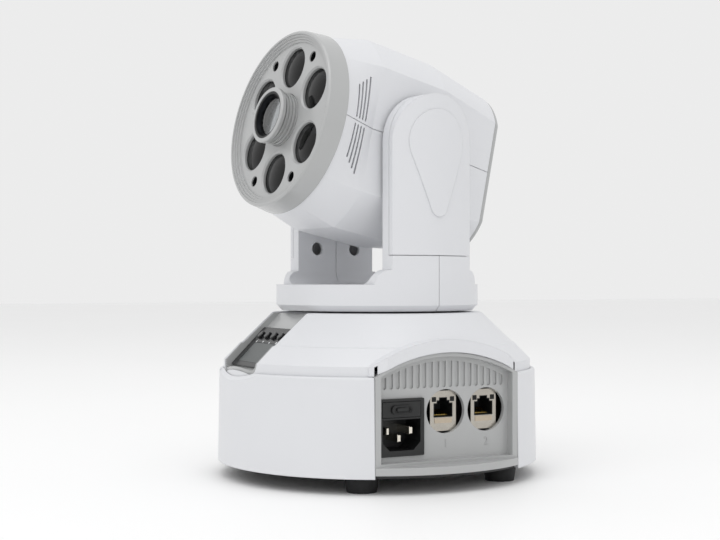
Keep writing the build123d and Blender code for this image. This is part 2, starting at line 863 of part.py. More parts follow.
with BuildPart() as pan_motor:
    with BuildSketch(Plane.XY.offset(z_bracket)):
        with Locations(motor_place):
            can = Rectangle(motor_size, motor_size)
        chamfer(can.vertices(), motor_corner)
    extrude(amount=-motor_length)
    with BuildSketch(Plane.XY.offset(z_bracket)):
        with Locations(motor_place):
            Circle(motor_boss_radius)
    extrude(amount=sheet)
    with BuildSketch(Plane.XY.offset(z_bracket)):
        with Locations(motor_place):
            Circle(motor_shaft_radius)
    extrude(amount=z_pulley - z_bracket + pulley_width + running_gap)
pan_motor.part.label = "pan_motor"
export_step(pan_motor.part, "parts/pan_motor.step")

motor_pulley_middle = Vector(*motor_place, z_pulley)
with BuildPart() as pan_motor_pulley:
    with BuildSketch(Plane(origin=motor_pulley_middle, x_dir=(1, 0, 0), z_dir=(0, -1, 0))):
        pulley(pan_motor_pulley_radius, motor_shaft_radius + bearing_gap, pulley_width)
    revolve(axis=Axis(motor_pulley_middle, (0, 0, 1)))
pan_motor_pulley.part.label = "pan_motor_pulley"
export_step(pan_motor_pulley.part, "parts/pan_motor_pulley.step")

belt_outside = belt_gap + belt_thickness
with BuildPart() as pan_belt:
    with BuildSketch(Plane.XY.offset(z_pulley + (pulley_width - belt_width) / 2)):
        two_circle_outline(
            (0, 0), pan_pulley_radius + belt_outside, motor_place, pan_motor_pulley_radius + belt_outside
        )
    extrude(amount=belt_width)
    with BuildSketch(Plane.XY.offset(z_pulley)):
        two_circle_outline((0, 0), pan_pulley_radius + belt_gap, motor_place, pan_motor_pulley_radius + belt_gap)
    extrude(amount=pulley_width, mode=Mode.SUBTRACT)
pan_belt.part.label = "pan_belt"
export_step(pan_belt.part, "parts/pan_belt.step")

# ---------------------------------------------------------------- base: power supply board
with BuildPart() as power_supply:
    with BuildSketch(Plane.XY.offset(z_plate)):
        with GridLocations(supply_width - 2 * supply_post, supply_length - 2 * supply_post, 2, 2):
            Circle(supply_post / 2)
    extrude(amount=supply_post)
    with BuildSketch(Plane.XY.offset(z_plate + supply_post)):
        Rectangle(supply_width, supply_length)
    extrude(amount=board_thickness)
    parts_plane = Plane.XY.offset(z_plate + supply_post + board_thickness)
    with BuildSketch(parts_plane):
        with Locations((-supply_width / 8, 0)):
            Rectangle(supply_width / 3, supply_length / 2)
    extrude(amount=supply_width / 4)
    with BuildSketch(parts_plane):
        with Locations((supply_width / 3, 0)):
            with GridLocations(1, supply_length / 2, 1, 2):
                Circle(supply_length / 7)
    extrude(amount=supply_width / 4)
    with BuildSketch(parts_plane):
        with Locations((-supply_width / 2 + supply_post, 0)):
            Rectangle(supply_post / 2, supply_length / 1.5)
    extrude(amount=supply_width / 3)
power_supply.part.label = "power_supply"
export_step(power_supply.part, "parts/power_supply.step")

# ---------------------------------------------------------------- yoke
arm_half = arm_width / 2


def deck_outline(reach, low, high, inset):
    """Draw the yoke from the side: its base, the flared foot of an arm and the round top."""
    half = arm_half - inset
    flare = arm_flare + inset
    with BuildLine(Plane.XY) as outline:
        base = Polyline(
            (-half - flare, high), (-reach, high), (-reach, low), (reach, low), (reach, high), (half + flare, high)
        )
        right = RadiusArc(base @ 1, (half, high + flare), -flare)
        up = Line(right @ 1, (half, z_axis))
        top = ThreePointArc(up @ 1, (0, z_axis + half), (-half, z_axis))
        down = Line(top @ 1, (-half, high + flare))
        RadiusArc(down @ 1, base @ 0, -flare)
    make_face(outline.edges())


def between_arms(half_gap, foot, cove):
    """Draw the space between the arms, seen from the front, with its two rounded lower corners."""
    with Locations((0, foot + far / 2)):
        gap = Rectangle(2 * half_gap, far)
    fillet(gap.vertices().group_by(Axis.Y)[0], cove)


with BuildPart() as yoke_form:
    with BuildSketch(Plane.XY.offset(z_yoke)):
        Circle(yoke_radius)
    extrude(amount=far)
    chamfer(yoke_form.edges().group_by(Axis.Z)[0], yoke_chamfer)
    with BuildSketch(arm_side.offset(-yoke_radius)):
        deck_outline(yoke_radius, z_yoke, z_deck, 0)
    extrude(amount=2 * yoke_radius, mode=Mode.INTERSECT)
    with BuildSketch(yoke_front.offset(-yoke_radius)):
        between_arms(arm_face, z_deck, arm_cove)
    extrude(amount=2 * yoke_radius, mode=Mode.SUBTRACT)

with BuildPart() as yoke_hollow:
    with BuildSketch(Plane.XY.offset(z_yoke + arm_wall)):
        Circle(yoke_radius - arm_wall)
    extrude(amount=far)
    chamfer(yoke_hollow.edges().group_by(Axis.Z)[0], yoke_chamfer - arm_wall / 2)
    with BuildSketch(arm_side.offset(-yoke_radius)):
        deck_outline(yoke_radius, z_yoke, z_deck - arm_wall, arm_wall)
    extrude(amount=2 * yoke_radius, mode=Mode.INTERSECT)
    with BuildSketch(yoke_front.offset(-yoke_radius)):
        between_arms(arm_face + arm_wall, z_deck - arm_wall, arm_cove + arm_wall)
    extrude(amount=2 * yoke_radius, mode=Mode.SUBTRACT)

# The side covers take the outer part of each arm above a level seam
cover_plane = sqrt(yoke_radius**2 - arm_half**2) - cover_wrap
tilt_clearance = tilt_shaft_radius + bearing_gap
for shell_name, side in (("yoke_front_shell", -1), ("yoke_rear_shell", 1)):
    with BuildPart() as yoke_shell:
        add(yoke_form.part)
        add(yoke_hollow.part, mode=Mode.SUBTRACT)
        with BuildSketch(arm_side.offset(-far)):
            with Locations((side * (far + seam_gap / 2), far)):
                Rectangle(2 * far, 2 * far)
        extrude(amount=2 * far, mode=Mode.INTERSECT)
        with BuildSketch(yoke_front.offset(-yoke_radius)):
            with Locations((cover_plane - seam_gap + far / 2, z_cover_seam + far / 2)):
                Rectangle(far, far)
            with Locations((-cover_plane + seam_gap - far / 2, z_cover_seam + far / 2)):
                Rectangle(far, far)
        extrude(amount=2 * yoke_radius, mode=Mode.SUBTRACT)
        with BuildSketch(arm_side.offset(-yoke_radius)):
            with Locations((0, z_axis)):
                Circle(tilt_clearance)
            with Locations((side * access_offset, z_deck + access_height)):
                Circle(access_radius)
        extrude(amount=2 * yoke_radius, mode=Mode.SUBTRACT)
        with BuildSketch(Plane.XY.offset(z_yoke)):
            Circle(pan_shaft_radius + bearing_gap)
        extrude(amount=arm_wall, mode=Mode.SUBTRACT)
    yoke_shell.part.label = shell_name
    export_step(yoke_shell.part, f"parts/{shell_name}.step")

with BuildPart() as pad:
    with BuildSketch(arm_side.offset(-far)):
        two_circle_outline((0, z_axis), pad_radius, (0, z_axis - pad_length), pad_foot_radius)
    extrude(amount=2 * far)
    with BuildSketch(Plane.XY):
        Circle(yoke_radius + pad_height)
    extrude(amount=far, mode=Mode.INTERSECT)
    with BuildSketch(Plane.XY):
        Circle(yoke_radius - arm_wall)
    extrude(amount=far, mode=Mode.SUBTRACT)

for cover_name, side in (("side_cover_drive", 1), ("side_cover_idle", -1)):
    with BuildPart() as side_cover:
        add(yoke_form.part)
        add(pad.part)
        add(yoke_hollow.part, mode=Mode.SUBTRACT)
        with BuildSketch(yoke_front.offset(-yoke_radius)):
            with Locations((side * (cover_plane + far / 2), z_cover_seam + seam_gap + far / 2)):
                Rectangle(far, far)
        extrude(amount=2 * yoke_radius, mode=Mode.INTERSECT)
    side_cover.part.label = cover_name
    export_step(side_cover.part, f"parts/{cover_name}.step")

# ---------------------------------------------------------------- tilt shafts, bearings and pulley
bearing_outer = head_cheek
bearing_inner = head_cheek - tilt_bearing_length
tilt_pulley_outer = bearing_inner - running_gap
tilt_pulley_inner = tilt_pulley_outer - tilt_pulley_width
for shaft_name, side in (("tilt_shaft_drive", 1), ("tilt_shaft_idle", -1)):
    shaft_end = tilt_pulley_inner if side > 0 else bearing_inner
    with BuildPart() as tilt_shaft:
        with BuildSketch(arm_side.offset(side * shaft_end)):
            with Locations((0, z_axis)):
                Circle(tilt_shaft_radius)
        extrude(amount=side * (arm_face + arm_wall - shaft_end))
        with BuildSketch(arm_side.offset(side * (arm_face + arm_wall))):
            with Locations((0, z_axis)):
                Circle(tilt_flange_radius)
        extrude(amount=side * tilt_flange)
        with BuildSketch(arm_side.offset(side * shaft_end)):
            with Locations((0, z_axis)):
                Circle(tilt_shaft_bore)
        extrude(amount=side * far, mode=Mode.SUBTRACT)
    tilt_shaft.part.label = shaft_name
    export_step(tilt_shaft.part, f"parts/{shaft_name}.step")

with BuildPart() as tilt_bearings:
    for side in (-1, 1):
        with BuildSketch(arm_side.offset(side * bearing_inner)):
            with Locations((0, z_axis)):
                Circle(tilt_bearing_radius)
                Circle(tilt_clearance, mode=Mode.SUBTRACT)
        extrude(amount=side * tilt_bearing_length)
        with BuildSketch(arm_side.offset(side * bearing_inner)):
            with Locations((0, z_axis)):
                Circle(tilt_bearing_radius + tilt_flange)
                Circle(tilt_clearance, mode=Mode.SUBTRACT)
        extrude(amount=side * (tilt_bearing_length - head_wall - fit_gap))
tilt_bearings.part.label = "tilt_bearings"
export_step(tilt_bearings.part, "parts/tilt_bearings.step")

tilt_axis_line = Axis(head.origin, head.x_dir)
with BuildPart() as tilt_pulley:
    with BuildSketch(Plane(origin=head.origin + head.x_dir * tilt_pulley_inner, x_dir=head.y_dir, z_dir=-head.z_dir)):
        pulley(tilt_pulley_radius, tilt_clearance, tilt_pulley_width)
    revolve(axis=tilt_axis_line)
tilt_pulley.part.label = "tilt_pulley"
export_step(tilt_pulley.part, "parts/tilt_pulley.step")

# ---------------------------------------------------------------- head shells


def head_outline(corners, middles):
    """Draw a closed section of eight arcs or straight edges through the given corners."""
    with BuildLine(Plane.XY) as outline:
        for index, start in enumerate(corners):
            end = corners[(index + 1) % len(corners)]
            if middles[index] is None:
                Line(start, end)
            else:
                ThreePointArc(start, middles[index], end)
    make_face(outline.edges())


def mirrored(first_corner, second_corner):
    """List the eight corners of a section from the two in its upper right quarter."""
    (ax, ay), (bx, by) = first_corner, second_corner
    return [(-ax, ay), (ax, ay), (bx, by), (bx, -by), (ax, -ay), (-ax, -ay), (-bx, -by), (-bx, by)]


def facet_section(half_width, half_height, flat, corner_height):
    """Draw a section with a flat top, flat cheeks and slightly rounded slopes between them."""
    corners = mirrored((flat, half_height), (half_width, corner_height))
    run = hypot(half_width - flat, half_height - corner_height)
    lean_x = (half_height - corner_height) / run * corner_bulge
    lean_y = (half_width - flat) / run * corner_bulge
    mid_x = (half_width + flat) / 2 + lean_x
    mid_y = (half_height + corner_height) / 2 + lean_y
    middles = [None, (mid_x, mid_y), None, (mid_x, -mid_y), None, (-mid_x, -mid_y), None, (-mid_x, mid_y)]
    head_outline(corners, middles)


def round_section(radius):
    """Draw a circle cut into eight arcs that face the edges of the faceted sections."""
    top_angle = atan2(mid_half_height, mid_flat)
    side_angle = atan2(mid_corner_height, head_cheek)
    on_circle = lambda angle: (radius * cos(angle), radius * sin(angle))
    corners = mirrored(on_circle(top_angle), on_circle(side_angle))
    slant = (top_angle + side_angle) / 2
    turns = [pi / 2, slant, 0, -slant, -pi / 2, pi + slant, pi, pi - slant]
    head_outline(corners, [on_circle(turn) for turn in turns])


def head_form(inset, front, rear):
    """Loft the head from its round front to its faceted rear, smaller by inset all round."""
    with BuildPart() as form:
        with BuildSketch(head.offset(rear)):
            facet_section(
                rear_half_width - inset, rear_half_height - inset, mid_flat - inset / 2, rear_corner_height - inset / 2
            )
        for place in (waist_section, shoulder_section):
            with BuildSketch(head.offset(place)):
                facet_section(
                    head_cheek - inset, mid_half_height - inset, mid_flat - inset / 2, mid_corner_height - inset / 2
                )
        with BuildSketch(head.offset(front)):
            round_section(front_radius - inset)
        loft(ruled=True)
    return form.part


shell_mouth = front_radius - head_wall - mouth_inset
head_outside = head_form(0, front_section, rear_section)
head_inside = head_form(head_wall, front_section + head_wall, rear_section - head_wall)
for shell_name, side in (("head_upper_shell", 1), ("head_lower_shell", -1)):
    with BuildPart() as head_shell:
        add(head_outside)
        add(head_inside, mode=Mode.SUBTRACT)
        with BuildSketch(head_side.offset(-far)):
            with Locations((0, side * (far + seam_gap / 2))):
                Rectangle(2 * far, 2 * far)
        extrude(amount=2 * far, mode=Mode.INTERSECT)
        with BuildSketch(head.offset(bezel_back - spigot_length - fit_gap)):
            Circle(shell_mouth)
        extrude(amount=far, mode=Mode.SUBTRACT)
        with BuildSketch(head_side.offset(-far)):
            Circle(tilt_bearing_radius + bearing_gap)
            for slot in range(head_vent_count):
                length = head_vent_length + slot * head_vent_growth
                with Locations((head_vent_first - slot * head_vent_pitch, side * (head_vent_gap + length / 2))):
                    SlotOverall(length, head_vent_width, rotation=90)
        extrude(amount=2 * far, mode=Mode.SUBTRACT)
    head_shell.part.label = shell_name
    export_step(head_shell.part, f"parts/{shell_name}.step")

# ---------------------------------------------------------------- head: rear plate and fan
plate_front = rear_section - seam_gap
with BuildPart() as rear_plate:
    with BuildSketch(head.offset(plate_front - rear_plate_thickness)):
        facet_section(
            rear_half_width - rear_plate_inset,
            rear_half_height - rear_plate_inset,
            mid_flat,
            rear_corner_height - rear_plate_inset,
        )
    extrude(amount=rear_plate_thickness)
    fillet(rear_plate.edges().filter_by(beam_axis), 2 * rear_plate_round)
    rear_edges = rear_plate.faces().sort_by(beam_axis)[0].outer_wire().edges()
    fillet(rear_edges, rear_plate_round)
    with BuildSketch(head.offset(plate_front)):
        facet_section(
            rear_half_width - head_wall - seam_gap,
            rear_half_height - head_wall - seam_gap,
            mid_flat - head_wall,
            rear_corner_height - head_wall,
        )
        offset(amount=-spigot_wall, kind=Kind.INTERSECTION, mode=Mode.SUBTRACT)
    extrude(amount=spigot_length)
    with BuildSketch(head.offset(plate_front)):
        with GridLocations(grille_bar + grille_gap, 1, int(2 * grille_radius / (grille_bar + grille_gap)), 1):
            Rectangle(grille_gap, 2 * grille_radius)
        Circle(grille_radius, mode=Mode.INTERSECT)
    extrude(amount=-rear_plate_thickness, mode=Mode.SUBTRACT)
rear_plate.part.label = "rear_plate"
export_step(rear_plate.part, "parts/rear_plate.step")

fan_back = plate_front
fan_front = plate_front + fan_thickness
fan_bore = fan_size / 2 - fan_wall / 2
strut = fan_wall
with BuildPart() as fan_frame:
    with BuildSketch(head.offset(fan_back)):
        RectangleRounded(fan_size, fan_size, fan_wall)
        Circle(fan_bore, mode=Mode.SUBTRACT)
    extrude(amount=fan_thickness)
    with BuildSketch(head.offset(fan_front - strut)):
        Circle(fan_hub_radius)
        Rectangle(fan_size - fan_wall, 2 * strut)
        Rectangle(2 * strut, fan_size - fan_wall)
    extrude(amount=strut)
fan_frame.part.label = "fan_frame"
export_step(fan_frame.part, "parts/fan_frame.step")

rotor_front = fan_front - strut - running_gap
rotor_back = fan_back + running_gap
with BuildPart() as fan_rotor:
    with BuildSketch(head.offset(rotor_back)):
        Circle(fan_hub_radius)
    extrude(amount=rotor_front - rotor_back)
    blade_length = fan_bore - fan_tip_gap
    with BuildSketch(head.offset(rotor_back + fan_blade_thickness)):
        with PolarLocations(0, fan_blade_count):
            with Locations((blade_length / 2, 0)):
                Rectangle(blade_length, fan_blade_thickness)
    extrude(amount=rotor_front - rotor_back - 2 * fan_blade_thickness)
fan_rotor.part.label = "fan_rotor"
export_step(fan_rotor.part, "parts/fan_rotor.step")

# ---------------------------------------------------------------- head: front bezel
spigot_radius = shell_mouth - fit_gap
spigot_bore = spigot_radius - spigot_wall
barrel_hole = barrel_radius + slide_gap
ridge_drop = (bezel_front - bezel_face) / ridge_count
lens_angles = [360 / lens_count * i for i in range(lens_count)]
screw_angles = [screw_angle, -screw_angle, 180 - screw_angle, 180 + screw_angle]


def around(radius, angles):
    """List the places on a circle round the beam, measured from straight up."""
    return [(radius * sin(radians(angle)), radius * cos(radians(angle))) for angle in angles]


ridge_points = []
for ridge in range(ridge_count):
    level = bezel_front - ridge * ridge_drop
    outer = bezel_front_radius - bezel_round - ridge * ridge_width
    ridge_points += [(level, outer), (level, outer - 0.85 * ridge_width)]
face_rim = bezel_front_radius - bezel_round - ridge_count * ridge_width

with BuildPart() as front_bezel:
    with BuildSketch(head_side):
        with BuildLine():
            Polyline(
                (bezel_back, bezel_radius),
                (bezel_front - bezel_round, bezel_front_radius),
                *ridge_points,
                (bezel_face, face_rim),
                (bezel_face, barrel_hole),
                (bezel_face - sleeve_length, barrel_hole),
                (bezel_face - sleeve_length, barrel_hole + sleeve_wall),
                (bezel_face - bezel_wall, barrel_hole + sleeve_wall),
                (bezel_face - bezel_wall, spigot_bore),
                (bezel_back - spigot_length, spigot_bore),
                (bezel_back - spigot_length, spigot_radius),
                (bezel_back, spigot_radius),
                close=True,
            )
        make_face()
    revolve(axis=beam_axis)
    with BuildSketch(head.offset(bezel_face - bezel_wall)):
        with Locations(*around(screw_circle, screw_angles)):
            Circle(post_radius)
    extrude(amount=engine_board - bezel_face + bezel_wall)
    with BuildSketch(head.offset(bezel_face)):
        with Locations(*around(screw_circle, screw_angles)):
            Circle(screw_hole_radius)
    extrude(amount=-2 * post_radius, mode=Mode.SUBTRACT)
    with BuildSketch(head.offset(bezel_face)):
        with Locations(*around(lens_circle, lens_angles)):
            Circle(lens_hole_radius)
    extrude(amount=-bezel_wall, mode=Mode.SUBTRACT)
    lens_rims = (
        front_bezel.edges()
        .filter_by(GeomType.CIRCLE)
        .filter_by(lambda edge: abs(edge.radius - lens_hole_radius) < fit_gap)
        .group_by(beam_axis)[-1]
    )
    chamfer(lens_rims, lens_hole_chamfer)
front_bezel.part.label = "front_bezel"
export_step(front_bezel.part, "parts/front_bezel.step")

# ---------------------------------------------------------------- head: light engine
lens_back = engine_board + led_height + fit_gap
flange_front = bezel_face - bezel_wall - fit_gap / 2
flange_back = flange_front - lens_flange_thickness
lens_rim_radius = lens_hole_radius - slide_gap
for number, spot in enumerate(around(lens_circle, lens_angles), start=1):
    middle = head.origin + head.x_dir * spot[0] + head.y_dir * spot[1]
    with BuildPart() as wash_lens:
        with BuildSketch(Plane(origin=middle, x_dir=head.z_dir, z_dir=-head.x_dir)):
            with BuildLine():
                rim = Polyline(
                    (lens_back, 0),
                    (lens_back, lens_back_radius),
                    (flange_back, lens_front_radius),
                    (flange_back, lens_flange_radius),
                    (flange_front, lens_flange_radius),
                    (flange_front, lens_rim_radius),
                )
                crown = RadiusArc(
                    rim @ 1,
                    (flange_front + lens_crown, 0),
                    (lens_rim_radius**2 + lens_crown**2) / (2 * lens_crown),
                )
                Line(crown @ 1, rim @ 0)
            make_face()
        revolve(axis=Axis(middle, head.z_dir))
    wash_lens.part.label = f"wash_lens_{number}"
    export_step(wash_lens.part, f"parts/wash_lens_{number}.step")

with BuildPart() as led_board:
    with BuildSketch(head.offset(engine_board - engine_board_thickness)):
        Circle(engine_radius)
        Circle(engine_bore, mode=Mode.SUBTRACT)
    extrude(amount=engine_board_thickness)
    with BuildSketch(head.offset(engine_board)):
        with Locations(*around(lens_circle, lens_angles)):
            Rectangle(led_size, led_size)
    extrude(amount=led_height)
led_board.part.label = "led_board"
export_step(led_board.part, "parts/led_board.step")

sink_front = engine_board - engine_board_thickness
sink_back = sink_front - sink_plate
fin_half = (engine_radius - fin_pitch) // fin_pitch
post_across = 30.0
post_up = 20.0
with BuildPart() as heat_sink:
    with BuildSketch(head.offset(sink_front - sink_plate - fin_length)):
        with GridLocations(fin_pitch, 1, 9, 1):
            Rectangle(fin_thickness, 2 * engine_radius)
        Circle(engine_radius - fin_thickness, mode=Mode.INTERSECT)
        Circle(engine_bore, mode=Mode.SUBTRACT)
    extrude(amount=fin_length)
    with BuildSketch(head.offset(sink_back)):
        Circle(engine_radius)
        Circle(engine_bore, mode=Mode.SUBTRACT)
    extrude(amount=sink_plate)
heat_sink.part.label = "heat_sink"
export_step(heat_sink.part, "parts/heat_sink.step")

# ---------------------------------------------------------------- head: focus barrel
cell_front = barrel_front - lip_width / 2
lens_seat = cell_front - centre_lens_depth - centre_lens_thickness
groove_points = []
for groove in range(barrel_groove_count):
    high = barrel_front - barrel_rim - groove * barrel_pitch
    groove_points += [
        (high, barrel_radius - barrel_groove),
        (high - barrel_pitch / 2, barrel_radius - barrel_groove),
        (high - barrel_pitch / 2, barrel_radius),
        (high - barrel_pitch, barrel_radius),
    ]
with BuildPart() as focus_ring:
    with BuildSketch(head_side):
        with BuildLine():
            Polyline(
                (barrel_back, cell_radius + bearing_gap),
                (barrel_front, cell_radius + bearing_gap),
                (barrel_front, barrel_rim_radius - lip_width / 2),
                (barrel_front - lip_width / 2, barrel_rim_radius),
                (barrel_front - barrel_rim, barrel_rim_radius),
                *groove_points,
                (barrel_back, barrel_radius),
                close=True,
            )
        make_face()
    revolve(axis=beam_axis)
focus_ring.part.label = "focus_ring"
export_step(focus_ring.part, "parts/focus_ring.step")

with BuildPart() as lens_cell:
    with BuildSketch(head_side):
        with BuildLine():
            Polyline(
                (cell_back, cell_bore - lip_width),
                (lens_seat, cell_bore - lip_width),
                (lens_seat, cell_bore),
                (cell_front, cell_bore),
                (cell_front, cell_radius),
                (cell_back, cell_radius),
                close=True,
            )
        make_face()
    revolve(axis=beam_axis)
lens_cell.part.label = "lens_cell"
export_step(lens_cell.part, "parts/lens_cell.step")

glass_radius = cell_bore - bearing_gap
with BuildPart() as centre_lens:
    with BuildSketch(head_side):
        with BuildLine():
            edge = Polyline((lens_seat, 0), (lens_seat, glass_radius), (lens_seat + centre_lens_thickness, glass_radius))
            dome = RadiusArc(
                edge @ 1,
                (lens_seat + centre_lens_thickness + centre_lens_crown, 0),
                (glass_radius**2 + centre_lens_crown**2) / (2 * centre_lens_crown),
            )
            Line(dome @ 1, edge @ 0)
        make_face()
    revolve(axis=beam_axis)
centre_lens.part.label = "centre_lens"
export_step(centre_lens.part, "parts/centre_lens.step")

# ---------------------------------------------------------------- head: pattern wheel and its lamp
frame_front = spot_front - 2 * running_gap - 2.6
tab_face = tilt_pulley_inner - 4.0
with BuildPart() as engine_frame:
    with BuildSketch(head.offset(frame_front - sheet)):
        Rectangle(2 * (head_cheek - head_wall - fit_gap), 2 * (mid_corner_height - 5))
        Rectangle(spot_block + 2 * fit_gap, spot_block + 2 * fit_gap, mode=Mode.SUBTRACT)
        with Locations((0, wheel_offset)):
            Circle(wheel_shaft_radius + fit_gap, mode=Mode.SUBTRACT)
        with Locations((tilt_pulley_inner + head_cheek / 2 - sheet, 0)):
            Rectangle(head_cheek, 2 * (tilt_pulley_radius + flange_rise + sheet), mode=Mode.SUBTRACT)
    extrude(amount=sheet)
    with BuildSketch(head.offset(frame_front)):
        with GridLocations(2 * post_across, 2 * post_up, 2, 2):
            Circle(post_radius / 2)
    extrude(amount=sink_back - frame_front)
    with BuildSketch(head_side.offset(-tab_face)):
        tab_rear = tilt_motor_along - tilt_motor_size / 2
        with Locations(((tab_rear + frame_front) / 2, tilt_motor_up)):
            Rectangle(frame_front - tab_rear, tilt_motor_size)
        with Locations((tilt_motor_along, tilt_motor_up)):
            Circle(motor_shaft_radius + fit_gap, mode=Mode.SUBTRACT)
    extrude(amount=sheet)
engine_frame.part.label = "engine_frame"
export_step(engine_frame.part, "parts/engine_frame.step")

with BuildPart() as spot_lamp:
    with BuildSketch(head.offset(spot_back)):
        Rectangle(spot_block, spot_block)
    extrude(amount=spot_front - spot_back)
    with BuildSketch(head.offset(spot_front)):
        Rectangle(led_size, led_size)
    extrude(amount=led_height)
spot_lamp.part.label = "spot_lamp"
export_step(spot_lamp.part, "parts/spot_lamp.step")

wheel_middle = head.origin + head.y_dir * wheel_offset
with BuildPart() as pattern_wheel:
    with BuildSketch(Plane(origin=wheel_middle, x_dir=head.x_dir, z_dir=head.z_dir).offset(wheel_place)):
        Circle(wheel_radius)
        Circle(wheel_shaft_radius + bearing_gap, mode=Mode.SUBTRACT)
        with PolarLocations(wheel_offset, wheel_window_count, start_angle=-90):
            Circle(wheel_window_radius, mode=Mode.SUBTRACT)
    extrude(amount=wheel_thickness)
pattern_wheel.part.label = "pattern_wheel"
export_step(pattern_wheel.part, "parts/pattern_wheel.step")

with BuildPart() as wheel_motor:
    with BuildSketch(head.offset(frame_front - sheet)):
        with Locations((0, wheel_offset)):
            Circle(wheel_motor_radius)
    extrude(amount=-wheel_motor_length)
    with BuildSketch(head.offset(frame_front - sheet)):
        with Locations((0, wheel_offset)):
            Circle(wheel_shaft_radius)
    extrude(amount=wheel_place + 2 * wheel_thickness - frame_front + sheet)
wheel_motor.part.label = "wheel_motor"
export_step(wheel_motor.part, "parts/wheel_motor.step")

# ---------------------------------------------------------------- head: tilt motor, its pulley and the belt
tilt_motor_spot = (tilt_motor_along, tilt_motor_up)
with BuildPart() as tilt_motor:
    with BuildSketch(head_side.offset(-(tab_face - sheet))):
        with Locations(tilt_motor_spot):
            can = Rectangle(tilt_motor_size, tilt_motor_size)
        chamfer(can.vertices(), motor_corner)
    extrude(amount=tilt_motor_length)
    with BuildSketch(head_side.offset(-(tab_face - sheet))):
        with Locations(tilt_motor_spot):
            Circle(motor_shaft_radius)
    extrude(amount=-(tilt_pulley_outer + running_gap - tab_face + sheet))
tilt_motor.part.label = "tilt_motor"
export_step(tilt_motor.part, "parts/tilt_motor.step")

tilt_motor_middle = head.origin + head.z_dir * tilt_motor_along + head.y_dir * tilt_motor_up
with BuildPart() as tilt_motor_pulley:
    with BuildSketch(
        Plane(origin=tilt_motor_middle + head.x_dir * tilt_pulley_inner, x_dir=head.y_dir, z_dir=-head.z_dir)
    ):
        pulley(tilt_motor_pulley_radius, motor_shaft_radius + bearing_gap, tilt_pulley_width)
    revolve(axis=Axis(tilt_motor_middle, head.x_dir))
tilt_motor_pulley.part.label = "tilt_motor_pulley"
export_step(tilt_motor_pulley.part, "parts/tilt_motor_pulley.step")

belt_side = tilt_pulley_inner + (tilt_pulley_width - tilt_belt_width) / 2
with BuildPart() as tilt_belt:
    with BuildSketch(head_side.offset(-belt_side)):
        two_circle_outline(
            (0, 0), tilt_pulley_radius + belt_outside, tilt_motor_spot, tilt_motor_pulley_radius + belt_outside
        )
    extrude(amount=-tilt_belt_width)
    with BuildSketch(head_side.offset(-tilt_pulley_inner)):
        two_circle_outline(
            (0, 0), tilt_pulley_radius + belt_gap, tilt_motor_spot, tilt_motor_pulley_radius + belt_gap
        )
    extrude(amount=-tilt_pulley_width, mode=Mode.SUBTRACT)
tilt_belt.part.label = "tilt_belt"
export_step(tilt_belt.part, "parts/tilt_belt.step")
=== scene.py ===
# %% [markdown]
# # A moving head light, dressed in Blender
#
# The light has a round base, a yoke that pans on it and a head that tilts in the yoke.
# Its solids come ready made from a CAD model, at their real size and in metres. This lesson
# gives them their finishes and adds the small pieces that a CAD model leaves plain: optics,
# contacts, marks, blades and screws. Each step says what the real thing is, how it could be
# made, and why one way was chosen.

import json
import math

import bpy
import numpy as np
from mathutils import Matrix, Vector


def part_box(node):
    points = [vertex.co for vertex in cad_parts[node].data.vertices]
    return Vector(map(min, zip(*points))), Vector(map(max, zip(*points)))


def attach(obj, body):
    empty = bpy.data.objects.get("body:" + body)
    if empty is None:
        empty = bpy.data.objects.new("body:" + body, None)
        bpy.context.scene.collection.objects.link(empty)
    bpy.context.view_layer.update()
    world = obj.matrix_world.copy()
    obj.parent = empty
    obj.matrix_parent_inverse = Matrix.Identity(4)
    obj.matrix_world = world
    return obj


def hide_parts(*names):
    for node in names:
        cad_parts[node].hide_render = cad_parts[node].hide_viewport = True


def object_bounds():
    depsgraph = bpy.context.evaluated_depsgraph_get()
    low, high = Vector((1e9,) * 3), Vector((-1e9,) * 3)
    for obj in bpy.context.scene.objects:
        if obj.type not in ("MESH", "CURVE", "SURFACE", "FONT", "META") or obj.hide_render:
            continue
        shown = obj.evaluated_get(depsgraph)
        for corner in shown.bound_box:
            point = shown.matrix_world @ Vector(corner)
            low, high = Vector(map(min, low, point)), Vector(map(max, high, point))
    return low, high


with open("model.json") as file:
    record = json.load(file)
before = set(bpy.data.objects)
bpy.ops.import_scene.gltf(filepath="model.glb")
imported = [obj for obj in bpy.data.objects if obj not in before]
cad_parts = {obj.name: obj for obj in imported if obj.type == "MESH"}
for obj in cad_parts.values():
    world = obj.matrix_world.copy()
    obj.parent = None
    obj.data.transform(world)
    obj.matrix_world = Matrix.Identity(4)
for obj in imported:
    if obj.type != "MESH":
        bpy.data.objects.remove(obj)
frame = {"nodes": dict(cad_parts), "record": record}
cad_box = [list(map(float, corner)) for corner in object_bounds()]
joints = {joint["name"]: joint for joint in frame["record"]["behaviour"]["joints"]}
MM = 0.001
print("CAD box in metres:", cad_box)

# %% [markdown]
# ## Two frames of reference
#
# The base stands square to the world axes, so plain x, y and z do for it. The head is turned
# and tilted, so it needs axes of its own: along the beam, up across it, and to the side.
# They could be typed in as angles, but the joints already hold them. The fan turns about the
# beam and the head tilts about its side axis, so both axes are read from there.

# %% Axes of the head, the yoke and the display


def unit(vector):
    """The vector divided by its own length."""
    vector = np.asarray(vector, float)
    return vector / np.linalg.norm(vector)


